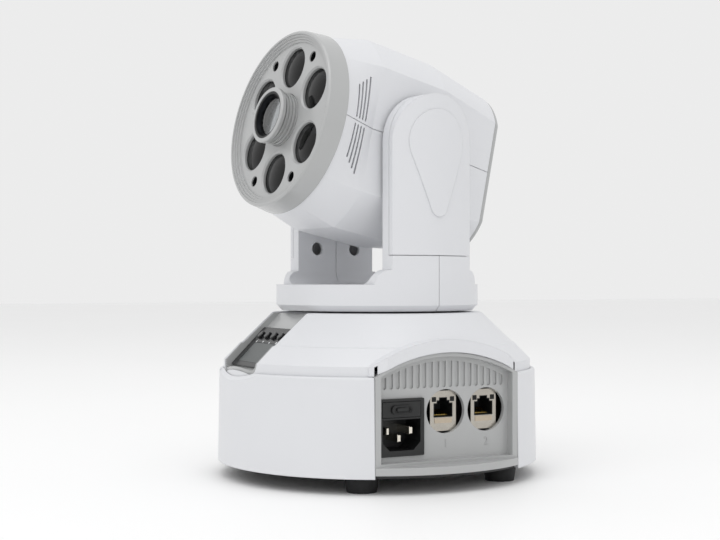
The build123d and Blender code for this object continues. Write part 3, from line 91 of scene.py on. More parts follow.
class Axes:
    """A place in space with three directions: right, up and out, where out = right x up."""

    def __init__(self, origin, out, up):
        self.origin = np.asarray(origin, float)
        self.out = unit(out)
        self.right = unit(np.cross(up, self.out))
        self.up = np.cross(self.out, self.right)

    def place(self, points):
        """Turns local (right, up, out) into the frame's own: origin + r*right + u*up + o*out."""
        points = np.asarray(points, float)
        return self.origin + points @ np.array([self.right, self.up, self.out])

    def local(self, points):
        """The reverse of place: each point's distances from the origin along right, up and out."""
        return (np.asarray(points, float) - self.origin) @ np.array([self.right, self.up, self.out]).T

    def moved(self, right=0.0, up=0.0, out=0.0):
        """The same directions from another place."""
        return Axes(self.place([right, up, out]), self.out, self.up)


def corners(node):
    """All vertices of a CAD node, as an array of places in metres."""
    mesh = frame["nodes"][node].data
    flat = np.empty(len(mesh.vertices) * 3, np.float32)
    mesh.vertices.foreach_get("co", flat)
    return flat.reshape(-1, 3).astype(float)


def span(node, axes):
    """Lowest and highest (right, up, out) of a CAD node, seen in the given axes."""
    seen = axes.local(corners(node))
    return seen.min(axis=0), seen.max(axis=0)


beam = unit(joints["fan_turn"]["axis"])
tilt_axis = unit(joints["tilt"]["axis"])
head = Axes(joints["tilt"]["pos_m"], beam, np.cross(beam, -tilt_axis))
press = unit(joints["button_1_press"]["axis"])
screen_low, screen_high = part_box("display_screen")
screen_middle = (np.array(screen_low) + np.array(screen_high)) / 2
display = Axes(screen_middle, -press, (0, 0, 1))
print("beam", beam.round(3), "head right", head.right.round(3), "head up", head.up.round(3))

# %% [markdown]
# ## Surfaces from arrays
#
# Nearly every added piece is round, or is a flat outline with a thickness. Blender's own
# primitives could be stretched to fit, but a formula says the shape exactly. A lathe turns a
# profile about an axis, and a slab gives a flat outline its thickness. Both work on whole
# arrays, so no vertex is visited one by one.

# %% Mesh helpers


def to_object(name, points, faces, material, body, smooth=True):
    """Makes one mesh object at the origin from places in metres and lists of vertex numbers."""
    mesh = bpy.data.meshes.new(name)
    mesh.from_pydata(np.asarray(points).tolist(), [], [list(map(int, face)) for face in faces])
    mesh.polygons.foreach_set("use_smooth", np.full(len(mesh.polygons), smooth))
    mesh.materials.append(material)
    mesh.update()
    piece = bpy.data.objects.new(name, mesh)
    bpy.context.scene.collection.objects.link(piece)
    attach(piece, body)
    return piece


def grid_faces(rows, columns, wrap=True):
    """Quads of a grid: each joins a point, its neighbour in the row and the two in the next row."""
    row = np.arange(rows - 1)[:, None] * columns
    column = np.arange(columns if wrap else columns - 1)[None, :]
    beside = (column + 1) % columns
    quads = np.stack([row + column, row + beside, row + columns + beside, row + columns + column], axis=-1)
    return quads.reshape(-1, 4)


def lathe(profile, axes, steps=96):
    """Turns a profile of (radius, out) pairs about the out axis: x = r cos t, y = r sin t, z = out.
    A radius of zero at either end is closed with one point and a fan of triangles."""
    profile = np.asarray(profile, float)
    first_pole, last_pole = profile[0, 0] == 0, profile[-1, 0] == 0
    rings = profile[int(first_pole):len(profile) - int(last_pole)]
    turn = np.linspace(0, 2 * np.pi, steps, endpoint=False)
    ring = np.stack([np.cos(turn), np.sin(turn), np.zeros(steps)], axis=-1)
    points = rings[:, None, :1] * ring + rings[:, None, 1:] * np.array([0, 0, 1.0])
    points = points.reshape(-1, 3)
    faces = grid_faces(len(rings), steps).tolist()
    edge = np.arange(steps)
    beside = (edge + 1) % steps
    if first_pole:
        points = np.vstack([points, [0, 0, profile[0, 1]]])
        pole = np.full(steps, len(points) - 1)
        faces += np.stack([pole, beside, edge], axis=-1).tolist()
    if last_pole:
        points = np.vstack([points, [0, 0, profile[-1, 1]]])
        pole = np.full(steps, len(points) - 1)
        start = (len(rings) - 1) * steps
        faces += np.stack([pole, start + edge, start + beside], axis=-1).tolist()
    return axes.place(points), faces


def slab(outline, low, high, axes):
    """Gives a closed outline of (right, up) pairs a thickness from low to high along out."""
    outline = np.asarray(outline, float)
    count = len(outline)
    bottom = np.column_stack([outline, np.full(count, low)])
    top = np.column_stack([outline, np.full(count, high)])
    faces = grid_faces(2, count).tolist()
    faces += [list(range(count))[::-1], list(range(count, 2 * count))]
    return axes.place(np.vstack([bottom, top])), faces


def join_parts(parts):
    """Joins (points, faces) pairs into one, shifting vertex numbers past those before them."""
    points, faces, shift = [], [], 0
    for part_points, part_faces in parts:
        points.append(part_points)
        faces += [[number + shift for number in face] for face in part_faces]
        shift += len(part_points)
    return np.vstack(points), faces


def arc(centre, radius, start, end, count):
    """Points of an arc from start to end degrees: centre + radius (cos t, sin t)."""
    turn = np.radians(np.linspace(start, end, count))
    return np.column_stack([centre[0] + radius * np.cos(turn), centre[1] + radius * np.sin(turn)])


def rounded_box(width, height, radius, steps=6):
    """Outline of a rectangle round the origin with four corner arcs."""
    x, y = width / 2 - radius, height / 2 - radius
    places = ((x, y, 0), (-x, y, 90), (-x, -y, 180), (x, -y, 270))
    return np.vstack([arc((a, b), radius, turn, turn + 90, steps) for a, b, turn in places])


print("helpers ready: lathe, slab, arc, rounded_box")

# %% [markdown]
# ## Colours and nodes
#
# A colour picked on a screen is an sRGB value, but a renderer counts light, so each hex colour
# is turned into linear values once, here. Patterns are given in millimetres, because that is
# how a mould maker or a machinist would say them: grit, brush width, pitch. Object coordinates
# are in metres, so a pattern of a given size needs a scale of one over that size.

# %% Colour and node helpers


def colour(code):
    """Linear RGBA from an sRGB hex code: c/12.92 below 0.04045, else ((c + 0.055)/1.055)^2.4."""
    channels = np.array([int(code[i:i + 2], 16) / 255 for i in (0, 2, 4)])
    linear = np.where(channels <= 0.04045, channels / 12.92, ((channels + 0.055) / 1.055) ** 2.4)
    return (*map(float, linear), 1.0)


def add(tree, kind, inputs=None, **settings):
    """Adds one shader node, sets its options, and gives each input a value or a link."""
    node = tree.nodes.new("ShaderNode" + kind)
    for name, value in settings.items():
        setattr(node, name, value)
    for name, value in (inputs or {}).items():
        if isinstance(value, bpy.types.NodeSocket):
            tree.links.new(value, node.inputs[name])
        else:
            node.inputs[name].default_value = value
    return node


def blank(name, **constants):
    """A new material with only its Principled shader, whose sockets take the given constants."""
    material = bpy.data.materials.new(name)
    material.use_nodes = True
    tree = material.node_tree
    shader = tree.nodes["Principled BSDF"]
    for socket, value in constants.items():
        shader.inputs[socket.replace("_", " ")].default_value = value
    return material, tree, shader


def pattern_scale(size_mm):
    """Texture scale for a pattern whose features are size_mm wide, on coordinates in metres."""
    return 1.0 / (size_mm * MM)


def between(tree, factor, low, high):
    """A colour ramp from one hex colour to another."""
    ramp = add(tree, "ValToRGB", {"Fac": factor})
    ramp.color_ramp.elements[0].color = colour(low)
    ramp.color_ramp.elements[1].color = colour(high)
    return ramp.outputs["Color"]


def ranged(tree, factor, low, high):
    """Maps a 0 to 1 value to low to high."""
    return add(tree, "MapRange", {"Value": factor, "To Min": low, "To Max": high}).outputs["Result"]


def noise(tree, size_mm, detail=2.0, stretch=(1, 1, 1)):
    """A noise of about size_mm on Object coordinates, stretched along the axes if asked."""
    place = add(tree, "TexCoord").outputs["Object"]
    mapped = add(tree, "Mapping", {"Vector": place, "Scale": stretch})
    texture = add(tree, "TexNoise", {"Vector": mapped.outputs["Vector"], "Scale": pattern_scale(size_mm),
                                     "Detail": detail})
    return texture.outputs["Fac"]


def bumped(tree, shader, height, depth_mm, normal=None):
    """Sends a height pattern, depth_mm deep, to the shader's normal."""
    inputs = {"Height": height, "Distance": depth_mm * MM, "Strength": 1.0}
    if normal is not None:
        inputs["Normal"] = normal
    bump = add(tree, "Bump", inputs)
    tree.links.new(bump.outputs["Normal"], shader.inputs["Normal"])


print("white ABS in linear light:", [round(c, 3) for c in colour("D9DADD")])

# %% [markdown]
# ## Moulded plastics
#
# The white shells are ABS, injection moulded in a spark-eroded mould. That leaves a satin skin:
# a fine grain that spreads the highlights, and edges with a small radius, because no moulding
# comes out of steel razor sharp. The radius is drawn by a Bevel node, which softens the light
# along an edge without touching the mesh. The grey trim is the same plastic from a polished
# mould, so it keeps sharper reflections and a thin gloss.

# %% Plastics


def white_abs():
    """Satin white ABS. IOR 1.53. Grain of 0.35 mm, drawn coarser than the real 0.1 mm so that it shows."""
    material, tree, shader = blank("white_abs_satin", IOR=1.53, Roughness=0.4, Coat_Weight=0.08,
                                   Coat_Roughness=0.3)
    cloud = noise(tree, 45, 3.0)
    tree.links.new(between(tree, cloud, "D9DADD", "DEDFE2"), shader.inputs["Base Color"])
    tree.links.new(ranged(tree, noise(tree, 6, 4.0), 0.34, 0.46), shader.inputs["Roughness"])
    edge = add(tree, "Bevel", {"Radius": 0.6 * MM}, samples=4)
    bumped(tree, shader, noise(tree, 0.35, 3.0), 0.012, edge.outputs["Normal"])
    return material


def grey_abs():
    """Glossy silver-grey ABS from a polished mould. IOR 1.53, with faint flow marks 20 mm across."""
    material, tree, shader = blank("grey_abs_gloss", IOR=1.53, Roughness=0.26, Coat_Weight=0.25,
                                   Coat_Roughness=0.12)
    tree.links.new(between(tree, noise(tree, 20, 2.0), "ADAEAE", "B1B2B2"), shader.inputs["Base Color"])
    tree.links.new(ranged(tree, noise(tree, 14, 2.0), 0.22, 0.28), shader.inputs["Roughness"])
    edge = add(tree, "Bevel", {"Radius": 0.35 * MM}, samples=4)
    bumped(tree, shader, noise(tree, 3.0, 2.0), 0.0015, edge.outputs["Normal"])
    return material


def black_moulding(name, code, roughness, grain_mm):
    """Black nylon or ABS with a fine moulded grain. IOR 1.53."""
    material, tree, shader = blank(name, IOR=1.53, Roughness=roughness)
    tree.links.new(between(tree, noise(tree, 12, 2.0), code, "121314"), shader.inputs["Base Color"])
    skin = ranged(tree, noise(tree, 4, 3.0), roughness - 0.06, roughness + 0.08)
    tree.links.new(skin, shader.inputs["Roughness"])
    edge = add(tree, "Bevel", {"Radius": 0.25 * MM}, samples=4)
    bumped(tree, shader, noise(tree, grain_mm, 2.0), 0.01, edge.outputs["Normal"])
    return material


def rubber(name, code, grain_mm):
    """Moulded rubber: nearly black, matt, with a slight bloom of dust. IOR 1.52."""
    material, tree, shader = blank(name, IOR=1.52, Roughness=0.7)
    tree.links.new(between(tree, noise(tree, 9, 4.0), code, "141416"), shader.inputs["Base Color"])
    tree.links.new(ranged(tree, noise(tree, 3, 2.0), 0.6, 0.82), shader.inputs["Roughness"])
    bumped(tree, shader, noise(tree, grain_mm, 2.0), 0.02)
    return material


def acetal():
    """Natural acetal, for gears, pulleys and bushes: milky, waxy and slightly see-through. IOR 1.48."""
    material, tree, shader = blank("natural_acetal", IOR=1.48, Roughness=0.38, Subsurface_Weight=0.15,
                                   Subsurface_Scale=0.002)
    tree.links.new(between(tree, noise(tree, 10, 2.0), "D6D4CB", "E2E0D8"), shader.inputs["Base Color"])
    bumped(tree, shader, noise(tree, 0.8, 2.0), 0.008)
    return material


WHITE = white_abs()
GREY = grey_abs()
BLACK = black_moulding("black_nylon_moulded", "090A0A", 0.42, 0.4)
KEYS = black_moulding("black_key_plastic", "121314", 0.24, 0.8)
FOOT = rubber("foot_rubber_moulded", "08080A", 0.9)
BELT = rubber("belt_rubber_ground", "0D0D0E", 0.6)
ACETAL = acetal()
print("plastics:", ", ".join(m.name for m in (WHITE, GREY, BLACK, KEYS, FOOT, BELT, ACETAL)))

# %% [markdown]
# ## Metals
#
# A bare metal is told by how it was made. Machined aluminium has fine turned lines, zinc-plated
# sheet has a cloudy bloom of crystals, a tinned shield is rolled, and nickel contacts are almost
# mirrors. All of these use a metallic value of one and differ in colour, roughness and grain.

# %% Metals


def worked_metal(name, low, high, roughness, grain_mm, depth_mm, stretch=(1, 1, 1)):
    """A bare metal. Its grain follows the working direction through the stretch of the noise."""
    material, tree, shader = blank(name, Metallic=1.0, Roughness=roughness)
    tree.links.new(between(tree, noise(tree, 7, 4.0), low, high), shader.inputs["Base Color"])
    grain = noise(tree, grain_mm, 3.0, stretch)
    tree.links.new(ranged(tree, grain, roughness - 0.07, roughness + 0.09), shader.inputs["Roughness"])
    bumped(tree, shader, grain, depth_mm)
    return material


def painted_metal(name, code, roughness, orange_peel_mm):
    """Baked paint on steel: no metal shows, but the skin has the slow waves of orange peel. IOR 1.5."""
    material, tree, shader = blank(name, IOR=1.5, Roughness=roughness, Coat_Weight=0.15, Coat_Roughness=0.2)
    tree.links.new(between(tree, noise(tree, 15, 2.0), code, "202124"), shader.inputs["Base Color"])
    bumped(tree, shader, noise(tree, orange_peel_mm, 2.0), 0.02)
    return material


ZINC = worked_metal("zinc_plated_steel", "A9ABAD", "C6C8CA", 0.34, 1.2, 0.006)
TINNED = worked_metal("tinned_steel_shield", "A8A39A", "BEB9B0", 0.24, 0.5, 0.004, (1, 1, 6))
NICKEL = worked_metal("nickel_plated_brass", "D8D2C6", "E6E1D6", 0.16, 0.8, 0.002)
ALUMINIUM = worked_metal("machined_aluminium", "BFC0C2", "D0D1D3", 0.28, 0.6, 0.004, (1, 1, 4))
ANODISED = worked_metal("black_anodised_aluminium", "17181A", "222326", 0.4, 0.5, 0.003)
GOLD = worked_metal("gold_plated_contact", "D9B25A", "E6C878", 0.2, 0.4, 0.001)
ENAMEL = painted_metal("black_motor_enamel", "0F1011", 0.35, 1.4)
POWDER = painted_metal("black_powder_coat", "0C0D0E", 0.5, 0.9)
print("metals:", ", ".join(m.name for m in (ZINC, TINNED, NICKEL, ALUMINIUM, ANODISED, GOLD, ENAMEL, POWDER)))

# %% [markdown]
# ## Optics, display and boards
#
# The wash lenses are polished acrylic with a near-black tint, so light goes in but little comes
# back; that tint is painted shade for the dark inside of the light. The centre lens is clear glass.
# The display window is black acrylic, printed on its back. A circuit board is glass cloth under a
# green lacquer, and its copper shows through as a faint maze.

# %% Optics, display and boards


def shade_tinted_acrylic():
    """Polished acrylic, all transmission, with the slightest ripple of moulding. Its near-black tint is
    painted shade, standing for the dark inside of the light. Its index of 1.36 lies below acrylic's
    own 1.49, as an anti-reflection layer makes it look."""
    # The base colour 16171A is painted shade: a near-black tint that stands for the dark inside of the light.
    material, tree, shader = blank("shade_tinted_optical_acrylic", IOR=1.36, Roughness=0.03,
                                   Transmission_Weight=1.0, Base_Color=colour("16171A"),
                                   Specular_IOR_Level=0.12)
    bumped(tree, shader, noise(tree, 5, 2.0), 0.004)
    return material


def coated_glass():
    """Objective glass with a thin anti-reflection layer. IOR 1.52."""
    material, tree, shader = blank("coated_optical_glass", IOR=1.52, Roughness=0.01, Transmission_Weight=1.0,
                                   Base_Color=colour("B9BCBE"), Coat_Weight=0.1,
                                   Coat_Roughness=0.02)
    bumped(tree, shader, noise(tree, 12, 1.0), 0.002)
    return material


def printed_acrylic():
    """Black window printed on its back: a clear gloss over a flat black. IOR 1.42."""
    material, tree, shader = blank("black_printed_acrylic", IOR=1.42, Roughness=0.22, Coat_Weight=0.1,
                                   Coat_Roughness=0.08)
    tree.links.new(between(tree, noise(tree, 10, 2.0), "0B0C0D", "131416"), shader.inputs["Base Color"])
    bumped(tree, shader, noise(tree, 6, 2.0), 0.003)
    return material


def liquid_crystal():
    """An unlit liquid crystal window: grey, with the fine grid of its cells 0.6 mm apart."""
    material, tree, shader = blank("liquid_crystal_window", IOR=1.42, Roughness=0.35, Coat_Weight=0.1,
                                   Coat_Roughness=0.08)
    place = add(tree, "TexCoord").outputs["Object"]
    turned = add(tree, "Mapping", {"Vector": place, "Rotation": (-math.pi / 4, 0, 0)})
    cells = add(tree, "TexBrick", {"Vector": turned.outputs["Vector"], "Scale": 1.0, "Brick Width": 0.6 * MM,
                                   "Row Height": 0.6 * MM, "Mortar Size": 0.06 * MM,
                                   "Color1": colour("505454"), "Color2": colour("565A5A"),
                                   "Mortar": colour("444848")}, offset=0.0)
    tree.links.new(cells.outputs["Color"], shader.inputs["Base Color"])
    return material


def board():
    """Green solder mask over copper tracks 1.2 mm wide, which stand up a little under the lacquer."""
    material, tree, shader = blank("green_circuit_board", IOR=1.55, Roughness=0.3, Coat_Weight=0.3,
                                   Coat_Roughness=0.15)
    place = add(tree, "TexCoord").outputs["Object"]
    maze = add(tree, "TexVoronoi", {"Vector": place, "Scale": pattern_scale(4)}, distance="MANHATTAN",
               feature="F1")
    tracks = add(tree, "MapRange", {"Value": maze.outputs["Distance"], "From Min": 0.45, "From Max": 0.5})
    tree.links.new(between(tree, tracks.outputs["Result"], "0F4A26", "1B6A38"), shader.inputs["Base Color"])
    bumped(tree, shader, tracks.outputs["Result"], 0.03)
    return material


def printed_ink():
    """Screen-printed marks: a thin, slightly uneven layer of white ink."""
    material, tree, shader = blank("white_printed_ink", IOR=1.5, Roughness=0.55)
    tree.links.new(between(tree, noise(tree, 0.5, 2.0), "C9CBCC", "E2E3E4"), shader.inputs["Base Color"])
    return material


def lamp_chip():
    """The phosphor of a white light-emitting diode, a soft yellow pad under clear silicone."""
    material, tree, shader = blank("yellow_phosphor", IOR=1.41, Roughness=0.35, Coat_Weight=0.8)
    tree.links.new(between(tree, noise(tree, 0.4, 2.0), "C9B64A", "D8C868"), shader.inputs["Base Color"])
    return material


def beige_liner():
    """The heat-proof plastic inside a data socket: pale sand, matt. IOR 1.6."""
    material, tree, shader = blank("sand_liner_plastic", IOR=1.6, Roughness=0.5)
    tree.links.new(between(tree, noise(tree, 2, 3.0), "B7A893", "C6B8A4"), shader.inputs["Base Color"])
    bumped(tree, shader, noise(tree, 0.4, 2.0), 0.01)
    return material


ACRYLIC = shade_tinted_acrylic()
GLASS = coated_glass()
WINDOW = printed_acrylic()
CRYSTAL = liquid_crystal()
BOARD = board()
INK = printed_ink()
CHIP = lamp_chip()
LINER = beige_liner()
optics = (ACRYLIC, GLASS, WINDOW, CRYSTAL, BOARD, INK, CHIP, LINER)
print("optics and boards:", ", ".join(m.name for m in optics))

# %% [markdown]
# ## Dress the CAD solids
#
# A solid whose shape is right keeps its mesh and only gets its finish. The record lists every
# node with a slot, such as white_shell or belt_rubber, so one table from slot to material
# dresses the whole light.

# %% Give every CAD node its finish
SLOT_FINISH = {
    "white_shell": WHITE, "grey_trim": GREY, "foot_rubber": FOOT, "zinc_steel": ZINC, "black_steel": POWDER,
    "black_plastic": BLACK, "contact_metal": NICKEL, "jack_metal": TINNED, "display_black": WINDOW,
    "screen_glass": CRYSTAL, "circuit_board": BOARD, "bearing_plastic": ACETAL, "cast_aluminium": ALUMINIUM,
    "wheel_aluminium": ANODISED, "motor_black": ENAMEL, "belt_rubber": BELT, "lens_glass": ACRYLIC,
    "button_plastic": KEYS,
}
for part in frame["record"]["subparts"]:
    node = frame["nodes"][part["node"]]
    for slot in node.material_slots:
        slot.material = SLOT_FINISH[part["material_slot"]]
for name, material in (("centre_lens", GLASS), ("focus_ring", GREY)):
    for slot in frame["nodes"][name].material_slots:
        slot.material = material

# %% [markdown]
# ## Stage, light and camera
#
# A white product is hard to light: too much light and its faces merge, too little and it turns
# grey. A large soft lamp from the upper left models the form, a weaker one from the right
# keeps the far side readable, one high above lifts the faces that look up, and a pale room
# fills in. The camera stands level, a good arm's length away, low enough to look up at the
# head and down on the display.

# %% Floor
FLOOR_REACH = 6.0
corner_signs = ((-1, -1), (1, -1), (1, 1), (-1, 1))
floor_mesh = bpy.data.meshes.new("floor")
floor_mesh.from_pydata([(x * FLOOR_REACH, y * FLOOR_REACH, 0) for x, y in corner_signs], [], [(0, 1, 2, 3)])
floor_material, floor_tree, floor_shader = blank("pale_floor", Roughness=0.6)
floor_tree.links.new(between(floor_tree, noise(floor_tree, 400, 1.0), "F9F9F9", "FBFBFB"),
                     floor_shader.inputs["Base Color"])
floor_mesh.materials.append(floor_material)
floor = bpy.data.objects.new("floor", floor_mesh)
bpy.context.scene.collection.objects.link(floor)

# %% Camera and lights
AZIMUTH = math.radians(62.0)
DISTANCE = 0.736
EYE_HEIGHT = 0.109
LENS_MM = 63.1
SENSOR_MM = 36.0
SHIFT = (-0.0236, 0.0181)
camera_data = bpy.data.cameras.new("camera")
camera_data.lens = LENS_MM
camera_data.sensor_width = SENSOR_MM
camera_data.shift_x, camera_data.shift_y = SHIFT
camera_data.clip_start = 0.01
camera_data.dof.use_dof = False
camera = bpy.data.objects.new("camera", camera_data)
camera.location = (DISTANCE * math.sin(AZIMUTH), -DISTANCE * math.cos(AZIMUTH), EYE_HEIGHT)
camera.rotation_euler = (math.pi / 2, 0, AZIMUTH)
bpy.context.scene.collection.objects.link(camera)
bpy.context.scene.camera = camera


def soft_lamp(name, azimuth, elevation, distance, size, power):
    """A square area lamp that looks at the middle of the light from a direction in degrees."""
    turn, lift = math.radians(azimuth), math.radians(elevation)
    away = np.array([math.sin(turn) * math.cos(lift), -math.cos(turn) * math.cos(lift), math.sin(lift)])
    data = bpy.data.lights.new(name, "AREA")
    data.size = size
    data.energy = power
    lamp = bpy.data.objects.new(name, data)
    lamp.location = away * distance + np.array([0, 0, cad_box[1][2] / 2])
    lamp.rotation_euler = (math.pi / 2 - lift, 0, turn)
    bpy.context.scene.collection.objects.link(lamp)


soft_lamp("key_softbox", 20, 48, 1.6, 1.2, 3.6)
soft_lamp("fill_softbox", 105, 25, 1.8, 1.4, 0.8)
soft_lamp("top_softbox", 60, 76, 1.6, 1.2, 4.6)
world = bpy.data.worlds.new("pale_room")
bpy.context.scene.world = world
world.use_nodes = True
world.node_tree.nodes["Background"].inputs["Color"].default_value = colour("FFFFFF")
world.node_tree.nodes["Background"].inputs["Strength"].default_value = 0.84
bpy.context.scene.view_settings.view_transform = "Standard"
print("camera at", [round(c, 3) for c in camera.location])

# %% [markdown]
# ## The wash lenses
#
# Each wash lens is a solid cone of acrylic that gathers the light of one lamp chip: its flank
# is a parabola that reflects inwards, its front is a low dome, and a well at its back takes the
# chip. The CAD solid is a plain cone, so a lathe with the true profile replaces it. A black cup
# holds the cone, and the acrylic's near-black tint, which is painted shade, makes an unlit lens look black.

# %% Wash lenses, their cups and chips
DOME_RISE = 1.6 * MM
RIM_WIDTH = 1.25 * MM
FLANGE_THICKNESS = 1.4 * MM
CUP_GAP = 0.25 * MM
CUP_WALL = 0.5 * MM
CHIP_SIZE = 1.5 * MM
CHIP_OFFSET = 0.95 * MM
lens_names = sorted(name for name in frame["nodes"] if name.startswith("wash_lens_"))
cups, chips = [], []
for name in lens_names:
    lens_low, lens_high = span(name, head)
    middle = (lens_low + lens_high) / 2
    radius = (lens_high[0] - lens_low[0]) / 2
    tip, back = lens_high[2], lens_low[2]
    axes = head.moved(middle[0], middle[1], 0)
    dome_radius = radius - RIM_WIDTH
    flange_front = tip - DOME_RISE
    flange_back = flange_front - FLANGE_THICKNESS
    well = np.array([[0, back + 5 * MM], [1.6 * MM, back + 4.6 * MM], [2.9 * MM, back + 3 * MM],
                     [3.3 * MM, back]])
    rise = np.linspace(0, 1, 14)
    flank = np.column_stack([5.5 * MM + (radius - 7.4 * MM) * np.sqrt(rise),
                             back + rise * (flange_back - back)])
    flange = [[radius, flange_back], [radius, flange_front], [dome_radius, flange_front]]
    sweep = np.linspace(1, 0, 16)
    dome = np.column_stack([dome_radius * sweep, flange_front + DOME_RISE * (1 - sweep ** 2)])
    points, faces = lathe(np.vstack([well, flank, flange, dome]), axes, 72)
    lens = to_object(name + "_optic", points, faces, ACRYLIC, "head")
    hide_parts(name)
    lens_sharp = lens.modifiers.new("sharp_flange", "EDGE_SPLIT")
    lens_sharp.split_angle = math.radians(35)
    inner = flank[1:] + [CUP_GAP, 0]
    outer = inner[::-1] + [CUP_WALL, 0]
    outer[0] = [radius - 0.2 * MM, outer[0, 1]]
    inner[-1, 1] -= 0.1 * MM
    outer[0, 1] -= 0.1 * MM
    cups.append(lathe(np.vstack([inner, outer, inner[:1]]), axes, 64))
    for right, up in ((-1, -1), (-1, 1), (1, -1), (1, 1)):
        chips.append(slab(rounded_box(CHIP_SIZE, CHIP_SIZE, 0.2 * MM, 3), back - 0.2 * MM, back - 0.02 * MM,
                          axes.moved(right * CHIP_OFFSET, up * CHIP_OFFSET, 0)))
cup_piece = to_object("lens_cups", *join_parts(cups), BLACK, "head")
chip_piece = to_object("lamp_chip_pads", *join_parts(chips), CHIP, "head", smooth=False)
print(len(lens_names), "lenses of radius", round(radius / MM, 2), "mm")

# %% [markdown]
# ## Inside the focus barrel
#
# The centre lens sits in a tube, and the tube behind it is cut with a fine thread. The thread
# is a light trap: it breaks up reflections, and from the front it shows as rings that
# fade into the dark. A zigzag profile on the lathe makes it.

# %% Baffle thread and retaining ring of the centre lens
cell_low, cell_high = span("lens_cell", head)
glass_low, glass_high = span("centre_lens", head)
glass_radius = (glass_high[0] - glass_low[0]) / 2
bore = glass_radius - 1.05 * MM
threads = 14
pitch = (glass_low[2] - cell_low[2] - 0.4 * MM) / threads
turns = np.arange(threads + 1)
thread_start = cell_low[2] + 0.2 * MM
crests = np.column_stack([np.full(threads + 1, bore - 0.7 * MM), thread_start + turns * pitch])
roots = np.column_stack([np.full(threads, bore - 0.08 * MM), thread_start + (turns[:-1] + 0.5) * pitch])
zigzag = np.empty((2 * threads + 1, 2))
zigzag[0::2], zigzag[1::2] = crests, roots
skin = [[bore - 0.02 * MM, zigzag[-1, 1]], [bore - 0.02 * MM, zigzag[0, 1]], zigzag[0]]
baffle = to_object("barrel_baffle", *lathe(np.vstack([zigzag, skin]), head, 80), ANODISED, "focus_cell",
                   smooth=False)
ring_back = glass_low[2] + 5.15 * MM
ring_front = cell_high[2] - 0.35 * MM
ring_profile = [[glass_radius - 1.3 * MM, ring_back], [glass_radius - 0.3 * MM, ring_front],
                [glass_radius - 0.02 * MM, ring_front], [glass_radius - 0.02 * MM, ring_back],
                [glass_radius - 1.3 * MM, ring_back]]
retainer = to_object("lens_retaining_ring", *lathe(ring_profile, head, 96), ANODISED, "focus_cell",
                     smooth=False)
print("baffle thread pitch", round(pitch / MM, 2), "mm")

# %% [markdown]
# ## Screws at the bottom of the bezel's wells
#
# Four deep wells in the bezel lead to the screws that hold it to the board behind. A screw head
# is a turned dome with a recess in its middle, so one profile on the lathe gives both. A thin
# black tube on each well's wall is painted shade: it darkens the well where only shade falls.

# %% Bezel screws and the painted shade in their wells
WELL_DEPTH = 8.8 * MM
SCREW_CIRCLE = 39.05 * MM
BEZEL_ABOVE_LENS = 0.9 * MM
SCREW_PROFILE = np.array([[2.7, 0.0], [2.6, 0.9], [2.1, 1.5], [1.3, 1.75], [0.8, 1.7], [0.5, 0.75],
                          [0.0, 0.7]]) * MM
# A thin black tube on each well's wall: painted shade that darkens the well, not a real part.
WELL_SHADE_PROFILE = np.array([[2.9, 8.0], [2.98, 8.0], [2.98, 0.1], [2.9, 0.1], [2.9, 8.0]]) * MM
face_out = span("wash_lens_1", head)[1][2] + BEZEL_ABOVE_LENS
well_floor = face_out - WELL_DEPTH
screws, well_shades = [], []
for angle in (30, -30, 150, 210):
    turn = math.radians(angle)
    axes = head.moved(SCREW_CIRCLE * math.sin(turn), SCREW_CIRCLE * math.cos(turn), well_floor)
    screws.append(lathe(SCREW_PROFILE, axes, 32))
    well_shades.append(lathe(WELL_SHADE_PROFILE, axes, 32))
# Painted shade: one black lining for the walls of all four wells.
well_shade_piece = to_object("screw_well_painted_shade", *join_parts(well_shades), POWDER, "head")
screw_piece = to_object("bezel_screws", *join_parts(screws), POWDER, "head")
print("screws", WELL_DEPTH / MM, "mm below the face")

# %% [markdown]
# ## Data sockets
#
# A data socket is a tinned steel box. Its port is lined with black plastic, eight gold springs
# rise from the floor, a sand-coloured sill closes the front below the port, and two small
# windows beside the latch notch let the link lights through. The port's outline is a rectangle
# with two steps above it for the plug's latch.

# %% Port liners, contacts, sills and link windows


def port_outline(inset):
    """Outline of the port as (right, up) pairs: a wide box with two steps on top, shrunk by inset."""
    half, top = 5.9 * MM - inset, 7.6 * MM - inset
    steps = ((4.0 * MM - inset, 9.1 * MM - inset), (2.5 * MM - inset, 10.6 * MM - inset))
    right_side = [(half, inset), (half, top)]
    level = top
    for width, height in steps:
        right_side += [(width, level), (width, height)]
        level = height
    left_side = [(-x, y) for x, y in reversed(right_side)]
    return np.array(right_side + left_side)


